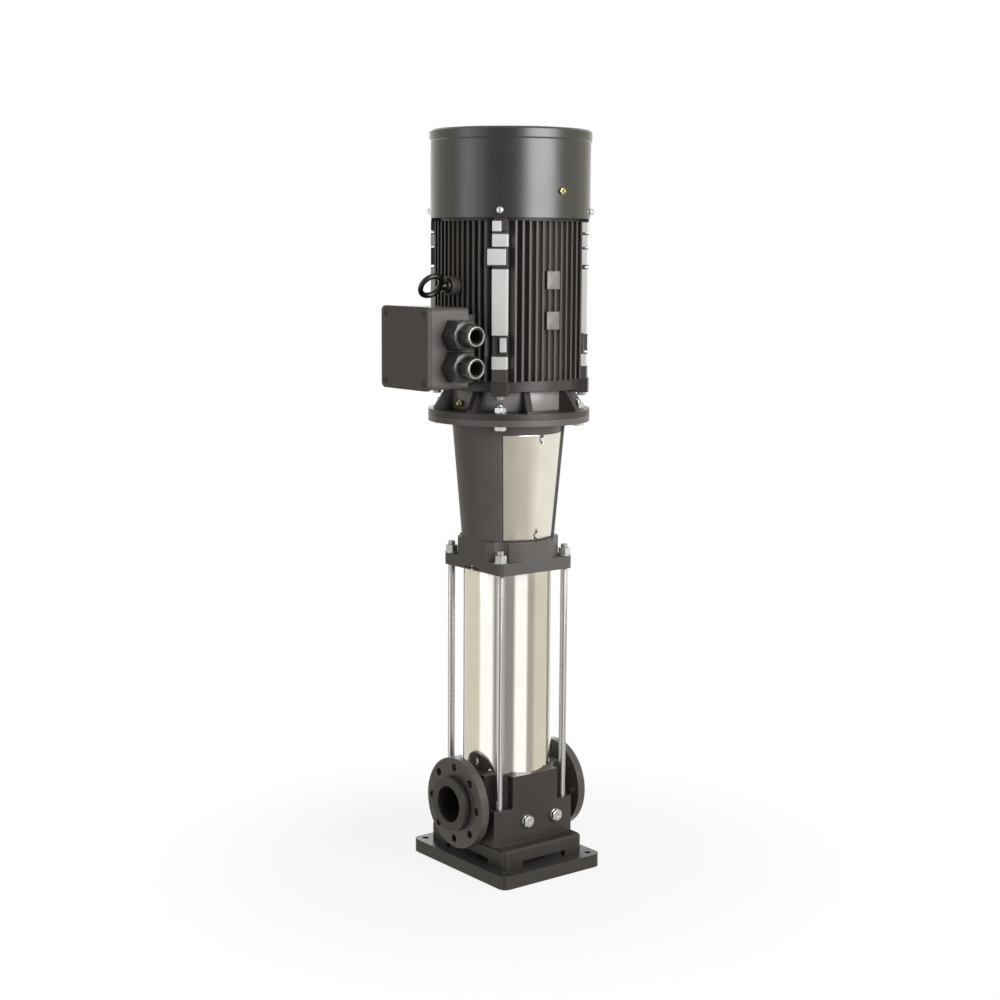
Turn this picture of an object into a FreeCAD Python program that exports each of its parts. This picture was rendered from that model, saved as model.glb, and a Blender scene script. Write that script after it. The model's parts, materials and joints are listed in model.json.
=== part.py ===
import FreeCAD, Part
import math
import os

# Vertical multistage centrifugal pump with a flange motor, in millimetres.
# The origin is the middle of the underside of the base plate. Z is the shaft axis, upwards.
# Water comes in at the port on -X, climbs through five stages, runs down
# between the stages and the outer sleeve, and leaves at the port on +X.

# Clearances and fits
running_gap = 0.3
fit_gap = 0.05
seat_gap = 0.1
thread_gap = 0.05

# Base plate
plate_length = 274.0
plate_width = 338.0
plate_thick = 29.0
plate_corner = 18.0
plate_roof = 12.0
plate_rim = 16.0
plate_rib = 10.0
base_hole_dia = 14.0
base_hole_inset_x = 22.0
base_hole_inset_y = 21.0
base_boss_dia = 34.0
base_hole_x = plate_length / 2 - base_hole_inset_x
base_hole_y = plate_width / 2 - base_hole_inset_y

# Stay bolts, which set the square that the casing and the head are built on
stay_bolt_dia = 16.0
stay_bolt_pitch = 176.0
stay_bolt_depth = 30.0
stay_bolt_above_nut = 9.0
stay_nut_hex = 24.0
stay_nut_height = 14.0
stay_nut_flange_dia = 31.0
stay_nut_flange = 3.0
stay_radius = stay_bolt_dia / 2
stay_half = stay_bolt_pitch / 2

# Outer sleeve
sleeve_radius = 99.0
sleeve_wall = 3.0
sleeve_length = 465.0
sleeve_seat_depth = 10.0
o_ring_section = 3.0
o_ring_from_end = 5.0

# Ports and their loose flanges
port_bore_dia = 80.0
outlet_bore_dia = 76.0
port_bore_depth = 50.0
passage_widening = 3.0
port_face_x = 160.0
port_wall = 10.0
neck_root_wall = 24.0
neck_cone_length = 16.0
collar_wall = 20.0
collar_thick = 12.0
flange_pcd = 160.0
flange_edge = 20.0
flange_thick = 20.0
flange_hole_dia = 18.0
flange_holes = 8
flange_chamfer = 2.0
inlet_flange_slack = 3.0
port_radius = port_bore_dia / 2
outlet_radius = outlet_bore_dia / 2
passage_x = port_face_x - port_bore_depth
neck_radius = port_radius + port_wall
neck_root_radius = port_radius + neck_root_wall
collar_radius = port_radius + collar_wall
flange_radius = flange_pcd / 2 + flange_edge

# Pump casing: pedestal, block and cup
pedestal_length = 218.0
pedestal_width = 272.0
pedestal_height = 42.0
pedestal_corner = 12.0
pedestal_wall = 12.0
pedestal_roof = 10.0
window_height = 13.0
window_foot_x = 49.0
window_foot_y = 61.0
foot_boss_dia = 26.0
foot_screw_dia = 12.0
foot_screw_inset = 21.0
foot_screw_reach = 18.0
block_edge_x = 20.0
block_edge_y = 9.0
block_corner = 8.0
ledge_above_pedestal = 79.0
ledge_edge = 26.0
cup_wall = 7.0
cup_cover = 0.5
pedestal_chamfer = 4.0
cup_above_pedestal = 151.0
cup_skirt = 20.0
port_above_pedestal = 83.0
annulus_wall = 7.0
annulus_inner = 64.0
annulus_drop = 5.0
suction_radius = 54.0
suction_drop = 16.0
suction_tube_wall = 10.0
suction_tube_below_rim = 24.0
outlet_start_gap = 4.0
pedestal_top = plate_thick + pedestal_height
block_length = stay_bolt_pitch + 2 * block_edge_x
block_width = stay_bolt_pitch + 2 * block_edge_y
ledge_z = pedestal_top + ledge_above_pedestal
ledge_half = stay_half - ledge_edge
cup_rim_z = pedestal_top + cup_above_pedestal
cup_radius = sleeve_radius + cup_wall
front_reach = cup_radius + cup_cover
front_bulge = front_reach - block_width / 2
front_arc_radius = ((block_length / 2) ** 2 + front_bulge ** 2) / (2 * front_bulge)
port_z = pedestal_top + port_above_pedestal
annulus_outer = sleeve_radius - annulus_wall
annulus_floor_z = port_z - port_radius - annulus_drop
suction_floor_z = port_z - port_radius - suction_drop
suction_tube_top = cup_rim_z - suction_tube_below_rim
sleeve_bottom_z = cup_rim_z - sleeve_seat_depth
sleeve_top_z = sleeve_bottom_z + sleeve_length

# Drain plugs on the -Y face
drain_hex = 24.0
drain_hex_height = 9.0
drain_collar = 1.5
drain_boss_wall = 4.0
drain_boss_step = 1.0
drain_thread_dia = 16.0
drain_thread_length = 14.0
drain_left_x = -25.0
drain_right_x = 54.0
drain_below_port = 36.0
drain_z = port_z - drain_below_port
drain_face_y = -front_reach - drain_boss_step

# Pump head
head_edge_x = 11.0
head_edge_y = 19.0
head_plate_corner = 15.0
head_plate_thick = 26.5
head_height = 67.0
head_drum_radius = 110.0
head_roof = 34.0
head_cavity_wall = 7.0
head_skirt_wall = 10.0
head_skirt_inset = 2.0
nut_pocket_radius = 22.0
seal_bore_radius = 30.0
vent_hex = 19.0
vent_hex_height = 8.0
vent_thread_dia = 12.0
vent_thread_length = 12.0
vent_below_top = 20.0
head_z = sleeve_top_z - sleeve_seat_depth
head_plate_top = head_z + head_plate_thick
head_top_z = head_z + head_height
head_plate_length = stay_bolt_pitch + 2 * head_edge_x
head_plate_width = stay_bolt_pitch + 2 * head_edge_y
head_cavity_z = head_top_z - head_roof
head_cavity_radius = sleeve_radius - head_cavity_wall
vent_z = head_top_z - vent_below_top

# Pump shaft and stages
pump_shaft_dia = 22.0
pump_shaft_foot = 20.0
stage_count = 5
inlet_part_height = 16.0
bracket_height = 24.0
head_skirt_height = 42.0
sleeve_channel = 12.0
chamber_wall = 2.5
chamber_floor = 3.0
neck_ring_inner = 36.0
neck_ring_wall = 4.0
neck_ring_height = 10.0
guide_disc_height = 40.0
guide_disc_thick = 2.5
guide_disc_gap = 8.0
guide_vanes = 7
guide_vane_thick = 2.0
guide_vane_inner = 42.0
guide_vane_sweep = 50.0
bracket_wall = 6.0
bracket_windows = 6
bracket_window_width = 50.0
bracket_window_height = 12.0
bracket_hole_radius = 7.0
bracket_hole_pcd = 104.0
bush_wall = 4.0
bush_height = 14.0
bush_hub_wall = 6.0
spoke_thick = 8.0
shaft_radius = pump_shaft_dia / 2
bush_outer = shaft_radius + running_gap + bush_wall
chamber_radius = sleeve_radius - sleeve_wall - sleeve_channel
head_skirt_outer = chamber_radius - head_skirt_inset
head_skirt_inner = head_skirt_outer - head_skirt_wall
guide_disc_radius = chamber_radius - guide_disc_gap
inlet_part_z = suction_tube_top
stage_z = inlet_part_z + inlet_part_height
stack_top_z = head_cavity_z - head_skirt_height - bracket_height
stage_pitch = (stack_top_z - stage_z) / stage_count
pump_shaft_bottom_z = inlet_part_z - pump_shaft_foot

# Impellers
impeller_tip_gap = 18.0
impeller_hub_radius = 17.0
impeller_hub_height = 30.0
impeller_hub_above = 4.0
impeller_start = 8.0
impeller_blades = 7
impeller_outlet_width = 16.0
shroud_thick = 2.5
blade_thick = 2.2
blade_inner = 33.0
blade_tip_inset = 2.0
blade_sweep = 75.0
skirt_wall = 2.5
skirt_drop = 6.0
skirt_overlap = 4.0
spacer_radius = 15.0
impeller_radius = chamber_radius - impeller_tip_gap
blade_outer = impeller_radius - blade_tip_inset

# Shaft seal
seal_cover_radius = 46.0
seal_cover_thick = 10.0
seal_cover_chamfer = 2.0
seal_seat_height = 11.0
rotating_seal_radius = 21.0
rotating_seal_height = 24.0
rotating_face_height = 8.0
rotating_face_inset = 4.0
seal_cover_screws = 4
seal_screw_dia = 6.0
seal_screw_pcd = 76.0
seal_screw_reach = 10.0

# Motor stool and coupling guards
stool_height = 268.0
stool_bottom_radius = 101.0
stool_top_radius = 123.0
stool_wall = 13.0
stool_foot_thick = 12.0
stool_foot_bore = 52.0
stool_flange_thick = 13.0
stool_flange_lip = 12.0
stool_recess_half_angle = 46.0
stool_recess_depth = 6.5
stool_window_half_angle = 41.0
stool_window_above_head = 28.0
stool_window_below_flange = 44.0
stool_screw_dia = 10.0
stool_screw_pcd = 150.0
stool_screw_reach = 14.0
stool_screw_head = 6.5
guard_thick = 1.2
guard_edge_gap = 0.8
guard_above_head = 2.0
guard_below_flange = 23.0
guard_slot_width = 8.0
guard_slot_depth = 14.0
guard_clip = 9.0
guard_screw_dia = 5.0
guard_screw_head = 9.5
guard_screw_head_height = 3.0
stool_top_z = head_top_z + stool_height
stool_flange_z = stool_top_z - stool_flange_thick
stool_window_bottom_z = head_top_z + stool_window_above_head
stool_window_top_z = stool_flange_z - stool_window_below_flange
guard_bottom_z = head_top_z + guard_above_head
guard_top_z = stool_flange_z - guard_below_flange

# Coupling
coupling_radius = 40.0
coupling_above_head = 58.0
coupling_length = 108.0
coupling_pump_length = 52.0
coupling_split = 2.0
coupling_chamfer = 2.0
coupling_screw_dia = 10.0
coupling_screw_offset = 29.0
coupling_screw_inset = 24.0
coupling_pocket_y = 24.0
shaft_end_gap = 3.0
coupling_bottom_z = head_top_z + coupling_above_head
coupling_top_z = coupling_bottom_z + coupling_length
coupling_joint_z = coupling_bottom_z + coupling_pump_length

# Motor flange and drive end shield
motor_flange_radius = 175.0
motor_flange_thick = 13.5
motor_bolt_inset = 25.0
motor_bolt_dia = 16.0
motor_bolt_hex = 24.0
motor_bolt_head = 10.0
motor_nut_height = 13.0
motor_bolt_tip = 7.0
shield_height = 80.0
nut_wrench_gap = 12.0
shield_drum_wall = 10.0
shield_ribs = 8
shield_rib_thick = 13.0
shield_rib_inset = 8.0
shield_ring_height = 22.0
shield_ring_radius = 148.0
shield_lug_radius = 172.0
shield_lug_width = 34.0
shield_lug_drop = 8.0
shield_bolt_dia = 10.0
shield_bolt_hex = 17.0
shield_bolt_head = 7.0
shield_bolt_inset = 14.0
shield_bolt_reach = 42.0
fan_bolt_inset = 22.0
fan_bolt_reach = 18.0
register_height = 6.0
drain_nipple_above = 28.0
drain_nipple_reach = 14.0
motor_flange_top = stool_top_z + motor_flange_thick
motor_bolt_radius = motor_flange_radius - motor_bolt_inset
shield_drum_radius = motor_bolt_radius - motor_bolt_hex / 2 - nut_wrench_gap
frame_bottom_z = stool_top_z + shield_height
shield_ring_z = frame_bottom_z - shield_ring_height
shield_bolt_radius = shield_lug_radius - shield_bolt_inset
drain_nipple_z = stool_top_z + drain_nipple_above

# Motor frame
frame_height = 332.0
frame_bore_radius = 112.0
frame_wall = 11.0
fins_per_bank = 12
fin_pitch = 16.0
fin_thick = 4.5
fin_reach = 146.0
fin_crown_radius = 330.0
corner_step = 3.0
corner_half_width = 16.0
corner_groove = 5.0
corner_groove_depth = 7.0
corner_pad_below_top = 56.0
corner_pad_height = 37.0
corner_pad_extra = 10.0
corner_pad_depth = 22.0
upper_groove_below_top = 25.0
notch_below_top = 238.0
notch_height = 35.0
side_pad_width = 34.0
side_pad_height = 38.0
side_pad_reach = 149.0
side_pad_upper = 210.0
side_pad_lower = 126.0
frame_top_z = frame_bottom_z + frame_height
frame_core_radius = frame_bore_radius + frame_wall
corner_radius = shield_lug_radius - corner_step
fan_bolt_radius = corner_radius - fan_bolt_inset
corner_pad_top = frame_top_z - corner_pad_below_top
corner_pad_bottom = corner_pad_top - corner_pad_height
notch_top = frame_top_z - notch_below_top
notch_bottom = notch_top - notch_height

# Motor shaft, rotor, stator and bearings
motor_shaft_dia = 42.0
bearing_bore_dia = 55.0
rotor_seat_dia = 62.0
rotor_radius = 74.0
rotor_ring_height = 12.0
rotor_ring_width = 19.0
air_gap = 1.0
core_above_frame_foot = 68.0
core_length = 200.0
winding_height = 34.0
winding_gap = 5.0
winding_inner_gap = 7.0
winding_bulge = 8.0
bearing_outer_radius = 58.0
bearing_race = 8.0
bearing_width = 28.0
bearing_shield_inset = 2.0
bearing_wall = 12.0
shaft_hole_gap = 3.0
drive_bearing_web = 22.0
fan_bearing_web = 10.0
core_bottom_z = frame_bottom_z + core_above_frame_foot
core_top_z = core_bottom_z + core_length
drive_bearing_z = stool_top_z + drive_bearing_web
fan_bearing_z = frame_top_z + fan_bearing_web
drive_bearing_top = drive_bearing_z + bearing_width
fan_bearing_top = fan_bearing_z + bearing_width

# Fan end shield, fan and fan cover
fan_shield_thick = 8.0
fan_shield_hub_wall = 14.0
fan_shield_roof = 10.0
fan_shaft_dia = 44.0
fan_shaft_above_blades = 18.0
fan_hub_radius = 32.0
fan_above_shield = 28.0
fan_hub_drop = 10.0
fan_hub_above = 40.0
fan_disc_thick = 4.0
fan_blades = 8
fan_blade_height = 44.0
fan_blade_inner = 28.0
fan_blade_gap = 31.5
fan_disc_inset = 8.0
fan_blade_thick = 3.5
cover_over_frame = 2.5
cover_wall = 2.0
cover_height = 184.5
cover_above_frame = 6.0
cover_band_height = 24.0
cover_band_step = 2.5
cover_edge = 4.0
grille_rings = 6
grille_pitch = 22.0
grille_first_radius = 26.0
grille_slot = 12.0
grille_spokes = 8
grille_spoke_width = 7.0
cover_screw_above_edge = 15.0
cover_screw_dia = 8.0
cover_screw_head = 16.0
cover_screw_dome = 6.5
cover_lug_half = 12.0
cover_post_thick = 6.0
fan_shield_hub_radius = bearing_outer_radius + fan_shield_hub_wall
fan_shield_hub_top = fan_bearing_top + fan_shield_roof
fan_z = fan_shield_hub_top + fan_above_shield
fan_shaft_top_z = fan_z + fan_blade_height + fan_shaft_above_blades
cover_radius = corner_radius + cover_over_frame
fan_blade_outer = cover_radius - fan_blade_gap
cover_bottom_z = frame_top_z + cover_above_frame
cover_top_z = cover_bottom_z + cover_height
cover_screw_z = cover_bottom_z + cover_screw_above_edge

# Terminal box
box_above_frame_foot = 70.0
box_height = 168.0
box_width = 164.0
box_depth = 94.0
box_back_x = 172.0
box_wall = 6.0
box_corner = 10.0
lid_thick = 11.0
lid_overhang_z = 2.0
lid_overhang_y = 2.5
lid_corner = 12.0
lid_edge = 3.0
lid_dish_rim = 17.0
lid_screw_inset = 13.0
lid_screw_dia = 6.0
lid_screw_head = 12.0
lid_screw_head_height = 3.5
lid_screw_reach = 16.0
lid_pillar_radius = 9.0
saddle_side = 22.0
saddle_end = 16.0
wire_hole_radius = 22.0
board_width = 90.0
board_height = 60.0
board_thick = 14.0
board_stand = 20.0
board_foot = 12.0
terminal_post_dia = 8.0
terminal_post_height = 12.0
terminal_pitch = 26.0
terminal_row = 14.0
box_z = frame_bottom_z + box_above_frame_foot
box_front_x = box_back_x + box_depth

# Cable glands on the -Y side of the terminal box
gland_from_back = 34.0
gland_above_centre = 28.0
gland_pitch = 65.0
gland_hex = 62.0
gland_body_length = 42.0
gland_body_chamfer = 4.0
gland_thread_radius = 20.0
gland_nipple_radius = 18.0
gland_nipple_length = 26.0
gland_nut_hex = 43.0
gland_nut_length = 33.0
gland_nut_dome = 7.0
gland_nut_rim = 17.0
gland_bore_radius = 14.0
gland_x = box_back_x + gland_from_back
gland_upper_z = box_z + gland_above_centre
gland_lower_z = gland_upper_z - gland_pitch

# Lifting eye above the terminal box
eye_boss_x = 166.0
eye_boss_radius = 20.0
eye_reach = 42.0
eye_above_frame_foot = 197.0
eye_ring_radius = 24.5
eye_section_radius = 6.5
eye_turn = 35.0
eye_collar_radius = 16.0
eye_collar_thick = 7.0
eye_shank_radius = 8.0
eye_shank_length = 24.0
eye_x = eye_boss_x + eye_reach
eye_z = frame_bottom_z + eye_above_frame_foot

# Grease nipple on the fan cover
nipple_above_edge = 55.0
nipple_hex = 13.0
nipple_length = 12.0
nipple_stem_radius = 3.8
nipple_z = cover_bottom_z + nipple_above_edge

X_AXIS = FreeCAD.Vector(1, 0, 0)
Y_AXIS = FreeCAD.Vector(0, 1, 0)
Z_AXIS = FreeCAD.Vector(0, 0, 1)
ORIGIN = FreeCAD.Vector(0, 0, 0)
CORNERS = [(-1, -1), (1, -1), (1, 1), (-1, 1)]


def rod(radius, z, height, x=0.0, y=0.0):
    """Upright cylinder."""
    return Part.makeCylinder(radius, height, FreeCAD.Vector(x, y, z), Z_AXIS)


def rod_along(radius, start, axis, length):
    """Cylinder from a point along an axis."""
    return Part.makeCylinder(radius, length, FreeCAD.Vector(*start), axis)


def tube(outer, inner, z, height, x=0.0, y=0.0):
    """Upright tube."""
    return rod(outer, z, height, x, y).cut(rod(inner, z - 1, height + 2, x, y))


def block(x_low, x_high, y_low, y_high, z_low, z_high):
    """Box between two corners."""
    size = (x_high - x_low, y_high - y_low, z_high - z_low)
    return Part.makeBox(*size, FreeCAD.Vector(x_low, y_low, z_low))


def rounded_block(length, width, corner, z, height):
    """Box with rounded upright edges, centred on the shaft axis."""
    body = block(-length / 2, length / 2, -width / 2, width / 2, z, z + height)
    upright = [e for e in body.Edges if abs(e.BoundBox.ZLength - height) < 1e-6]
    return body.makeFillet(corner, upright)


def prism(points, z, height):
    """Upright prism over a closed outline of straight sides."""
    corners = [FreeCAD.Vector(x, y, z) for x, y in points]
    outline = Part.makePolygon(corners + corners[:1])
    return Part.Face(outline).extrude(FreeCAD.Vector(0, 0, height))


def hexagon(across_flats, z, height, x=0.0, y=0.0, turn=0.0):
    """Upright hexagonal prism."""
    reach = across_flats / math.sqrt(3)
    angles = [math.radians(turn + 60 * i) for i in range(6)]
    return prism([(x + reach * math.cos(a), y + reach * math.sin(a)) for a in angles], z, height)


def revolve(points):
    """Solid of revolution about the shaft axis from a closed outline of radius and height."""
    corners = [FreeCAD.Vector(r, 0, z) for r, z in points]
    outline = Part.makePolygon(corners + corners[:1])
    return Part.Face(outline).revolve(ORIGIN, Z_AXIS, 360)


def turned(shape, angle, axis=Z_AXIS, centre=ORIGIN):
    """Copy of a shape turned about an axis."""
    copy = shape.copy()
    copy.rotate(centre, axis, angle)
    return copy


def moved(shape, x=0.0, y=0.0, z=0.0):
    """Copy of a shape moved."""
    copy = shape.copy()
    copy.translate(FreeCAD.Vector(x, y, z))
    return copy


def around(shape, count, start=0.0):
    """Copies of a shape evenly spaced about the shaft axis."""
    return [turned(shape, start + 360.0 * i / count) for i in range(count)]


def joined(shapes):
    """One solid out of overlapping ones."""
    whole = shapes[0].multiFuse(shapes[1:])
    return whole.removeSplitter()


def group(shapes):
    """Separate solids kept together as one sub-part."""
    return Part.makeCompound(shapes)


def polar(radius, angle):
    """Point on a circle about the shaft axis, with the angle in degrees."""
    turn = math.radians(angle)
    return radius * math.cos(turn), radius * math.sin(turn)


def vane(inner, outer, sweep, thick, z, height):
    """Upright curved vane: an arc from the inner to the outer radius, leaning back by the sweep."""
    half = math.degrees(thick / 2 / ((inner + outer) / 2))
    middle = (inner + outer) / 2
    edges = []
    for side in (1, -1):
        ends = [polar(inner, side * half), polar(middle, sweep * 0.4 + side * half),
                polar(outer, sweep + side * half)]
        edges.append([FreeCAD.Vector(x, y, z) for x, y in ends])
    front, back = edges
    outline = Part.Wire([
        Part.Arc(*front).toShape(),
        Part.makeLine(front[2], back[2]),
        Part.Arc(back[2], back[1], back[0]).toShape(),
        Part.makeLine(back[0], front[0]),
    ])
    return Part.Face(outline).extrude(FreeCAD.Vector(0, 0, height))


def cone_radius(z):
    """Outside radius of the tapered motor stool at a height."""
    share = (z - head_top_z) / (stool_flange_z - head_top_z)
    return stool_bottom_radius + share * (stool_top_radius - stool_bottom_radius)


def wedge(half_angle, reach, z, height, middle=-90.0):
    """Upright slice of a disc, used to keep or cut a span of angles."""
    centre = (0.0, 0.0)
    spread = [middle - half_angle, middle, middle + half_angle]
    far = reach / math.cos(math.radians(half_angle / 2)) * 1.02
    return prism([centre] + [polar(far, a) for a in spread], z, height)


def base_plate():
    """Cast plate with a hollow underside, a cross of ribs and four bolt bosses."""
    plate = rounded_block(plate_length, plate_width, plate_corner, 0, plate_thick)
    hollow = rounded_block(plate_length - 2 * plate_rim, plate_width - 2 * plate_rim,
                           plate_corner / 2, -1, plate_thick - plate_roof + 1)
    bosses = [rod(base_boss_dia / 2, -1, plate_thick, sx * base_hole_x, sy * base_hole_y)
              for sx, sy in CORNERS]
    ribs = [block(-plate_length, plate_length, -plate_rib / 2, plate_rib / 2, -1, plate_thick),
            block(-plate_rib / 2, plate_rib / 2, -plate_width, plate_width, -1, plate_thick)]
    plate = plate.cut(hollow.cut(ribs + bosses))
    holes = [rod(base_hole_dia / 2, -1, plate_thick + 2, sx * base_hole_x, sy * base_hole_y)
             for sx, sy in CORNERS]
    screw_holes = [rod(foot_screw_dia / 2 + running_gap, -1, plate_thick + 2, x, y) for x, y in foot_places()]
    return plate.cut(holes + screw_holes)


def foot_places():
    """Where the screws hold the four feet of the casing to the base plate."""
    x = pedestal_length / 2 - foot_screw_inset
    y = pedestal_width / 2 - foot_screw_inset
    return [(sx * x, sy * y) for sx, sy in CORNERS]


def foot_screws():
    """Four screws from below, heads in the hollow of the base plate."""
    head_height = 0.7 * foot_screw_dia
    head_bottom = plate_thick - plate_roof - head_height
    screws = []
    for x, y in foot_places():
        head = hexagon(foot_screw_dia * 1.5, head_bottom, head_height, x, y)
        shank = rod(foot_screw_dia / 2, head_bottom, head_height + plate_roof + foot_screw_reach, x, y)
        screws.append(joined([head, shank]))
    return group(screws)


def neck(side):
    """Port neck with its collar, on one side of the casing."""
    root = block_length / 2 - 6
    collar_back = port_face_x - collar_thick
    cone_end = block_length / 2 + neck_cone_length - 4
    outline = [(0, root), (neck_root_radius, root), (neck_radius, cone_end), (neck_radius, collar_back),
               (collar_radius, collar_back), (collar_radius, port_face_x - 1),
               (collar_radius - 1, port_face_x), (0, port_face_x)]
    return moved(turned(revolve(outline), side * 90, Y_AXIS), z=port_z)


def o_ring_groove(z):
    """Groove for a sleeve seal, turned in the seat that holds the sleeve."""
    inner = sleeve_radius - 1
    outer = sleeve_radius + o_ring_section + 2 * seat_gap
    half = o_ring_section / 2 + seat_gap
    return tube(outer, inner, z - half, 2 * half)


def pump_casing():
    """Iron casting with the four feet, both ports, the suction tube and the cup that holds the sleeve."""
    pedestal = rounded_block(pedestal_length, pedestal_width, pedestal_corner, plate_thick,
                             pedestal_top - plate_thick)
    top_edges = [e for e in pedestal.Edges if e.BoundBox.ZMin > pedestal_top - 1e-6]
    pedestal = pedestal.makeChamfer(pedestal_chamfer, top_edges)
    inside = rounded_block(pedestal_length - 2 * pedestal_wall, pedestal_width - 2 * pedestal_wall,
                           pedestal_corner / 2, plate_thick - 1,
                           pedestal_top - pedestal_roof - plate_thick + 1)
    feet = [rod(foot_boss_dia / 2, plate_thick, pedestal_top - plate_thick, x, y) for x, y in foot_places()]
    window_top = plate_thick + window_height
    half_x = pedestal_length / 2 - window_foot_x
    half_y = pedestal_width / 2 - window_foot_y
    windows = [block(-half_x, half_x, -plate_width, plate_width, plate_thick - 1, window_top),
               block(-plate_length, plate_length, -half_y, half_y, plate_thick - 1, window_top)]
    pedestal = pedestal.cut(inside.cut(feet)).cut(windows)
    body = rounded_block(block_length, 2 * front_reach, block_corner, pedestal_top - 1,
                         cup_rim_z - pedestal_top + 1)
    for side in (-1, 1):
        arc_y = side * (front_arc_radius - front_reach)
        body = body.common(rod(front_arc_radius, pedestal_top - 2, cup_rim_z - pedestal_top + 4, 0, arc_y))
    notches = [block(min(sx * ledge_half, sx * block_length), max(sx * ledge_half, sx * block_length),
                     min(sy * ledge_half, sy * block_width), max(sy * ledge_half, sy * block_width),
                     ledge_z, cup_rim_z + 1) for sx, sy in CORNERS]
    body = body.cut(notches)
    cup = rod(cup_radius, ledge_z - cup_skirt, cup_rim_z - ledge_z + cup_skirt)
    bosses = [rod_along(drain_hex / 2 + drain_boss_wall, (x, drain_face_y, drain_z), Y_AXIS, front_bulge + 2)
              for x in (drain_left_x, drain_right_x)]
    casing = joined([pedestal, body, cup, neck(-1), neck(1)] + bosses)
    annulus = tube(annulus_outer, annulus_inner, annulus_floor_z, cup_rim_z - annulus_floor_z + 1)
    suction_wall = rod_along(port_radius + suction_tube_wall, (-annulus_outer - 6, 0, port_z), X_AXIS,
                             annulus_outer)
    annulus = annulus.cut(suction_wall)
    open_top = rod(annulus_outer, suction_tube_top, cup_rim_z - suction_tube_top + 1)
    casing = casing.cut([annulus, open_top])
    casing = casing.cut(rod(suction_radius, suction_floor_z, suction_tube_top - suction_floor_z + 1))
    casing = casing.cut(rod_along(port_radius, (-port_face_x - 1, 0, port_z), X_AXIS, port_bore_depth + 1))
    casing = casing.cut(rod_along(port_radius + passage_widening, (-passage_x, 0, port_z), X_AXIS, passage_x))
    outlet_start = annulus_inner + outlet_start_gap
    casing = casing.cut(rod_along(outlet_radius, (passage_x, 0, port_z), X_AXIS, port_bore_depth + 1))
    casing = casing.cut(rod_along(outlet_radius + passage_widening, (outlet_start, 0, port_z), X_AXIS,
                                  passage_x - outlet_start))
    casing = casing.cut(rod(sleeve_radius + fit_gap, sleeve_bottom_z, sleeve_seat_depth + 1))
    casing = casing.cut(o_ring_groove(sleeve_bottom_z + o_ring_from_end))
    threads = [rod(stay_radius + thread_gap, ledge_z - stay_bolt_depth, stay_bolt_depth + 1,
                   sx * stay_half, sy * stay_half) for sx, sy in CORNERS]
    screws = [rod(foot_screw_dia / 2 + thread_gap, plate_thick - 1, foot_screw_reach + 3, x, y)
              for x, y in foot_places()]
    drains = [rod_along(drain_thread_dia / 2 + thread_gap, (x, drain_face_y - 1, drain_z), Y_AXIS,
                        drain_thread_length + 3) for x in (drain_left_x, drain_right_x)]
    return casing.cut(threads + screws + drains)


def loose_flange(face_x, side):
    """Ring flange that turns on the port neck behind the collar, with its bolt holes."""
    outer = flange_radius
    inner = neck_radius + running_gap
    back = face_x - flange_thick
    ring = revolve([(inner, back), (outer, back), (outer, face_x - flange_chamfer),
                    (outer - flange_chamfer, face_x), (inner, face_x)])
    hole = rod(flange_hole_dia / 2, back - 1, flange_thick + 2, flange_pcd / 2)
    ring = ring.cut(around(hole, flange_holes))
    return moved(turned(ring, side * 90, Y_AXIS), z=port_z)


def drain_plugs():
    """Two hexagon plugs in the front face of the casing."""
    plugs = []
    face = drain_face_y
    for x in (drain_left_x, drain_right_x):
        head = hexagon(drain_hex, 0, drain_hex_height, turn=30)
        head = moved(turned(head, 90, X_AXIS), x, face, drain_z)
        collar = rod_along(drain_hex / 2 + drain_collar, (x, face - 2, drain_z), Y_AXIS, 2)
        thread = rod_along(drain_thread_dia / 2, (x, face - 2, drain_z), Y_AXIS, drain_thread_length)
        plugs.append(joined([head, collar, thread]))
    return group(plugs)


def outer_sleeve():
    """Polished tube round the stages, standing in the casing and reaching into the head."""
    return tube(sleeve_radius, sleeve_radius - sleeve_wall, sleeve_bottom_z, sleeve_top_z - sleeve_bottom_z)


def sleeve_o_rings():
    """Seal rings round both ends of the sleeve."""
    places = (sleeve_bottom_z + o_ring_from_end, sleeve_top_z - o_ring_from_end)
    middle = sleeve_radius + seat_gap + o_ring_section / 2
    return group([Part.makeTorus(middle, o_ring_section / 2, FreeCAD.Vector(0, 0, z), Z_AXIS)
                  for z in places])


def stay_bolts():
    """Four long bolts that clamp the head and the sleeve to the casing."""
    bottom = ledge_z - stay_bolt_depth
    top = head_plate_top + stay_nut_flange + stay_nut_height + stay_bolt_above_nut
    bolts = []
    for sx, sy in CORNERS:
        bolt = rod(stay_radius, bottom, top - bottom, sx * stay_half, sy * stay_half)
        bolts.append(bolt.makeChamfer(1.5, [e for e in bolt.Edges if e.BoundBox.ZLength < 1e-6]))
    return group(bolts)


def stay_bolt_nuts():
    """Flanged hexagon nuts on top of the head plate."""
    nuts = []
    height = stay_nut_flange + stay_nut_height
    for sx, sy in CORNERS:
        place = (sx * stay_half, sy * stay_half)
        nut = joined([rod(stay_nut_flange_dia / 2, head_plate_top, stay_nut_flange, *place),
                      hexagon(stay_nut_hex, head_plate_top, height, *place)])
        nuts.append(nut.cut(rod(stay_radius + thread_gap, head_plate_top - 1, height + 2, *place)))
    return group(nuts)


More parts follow.
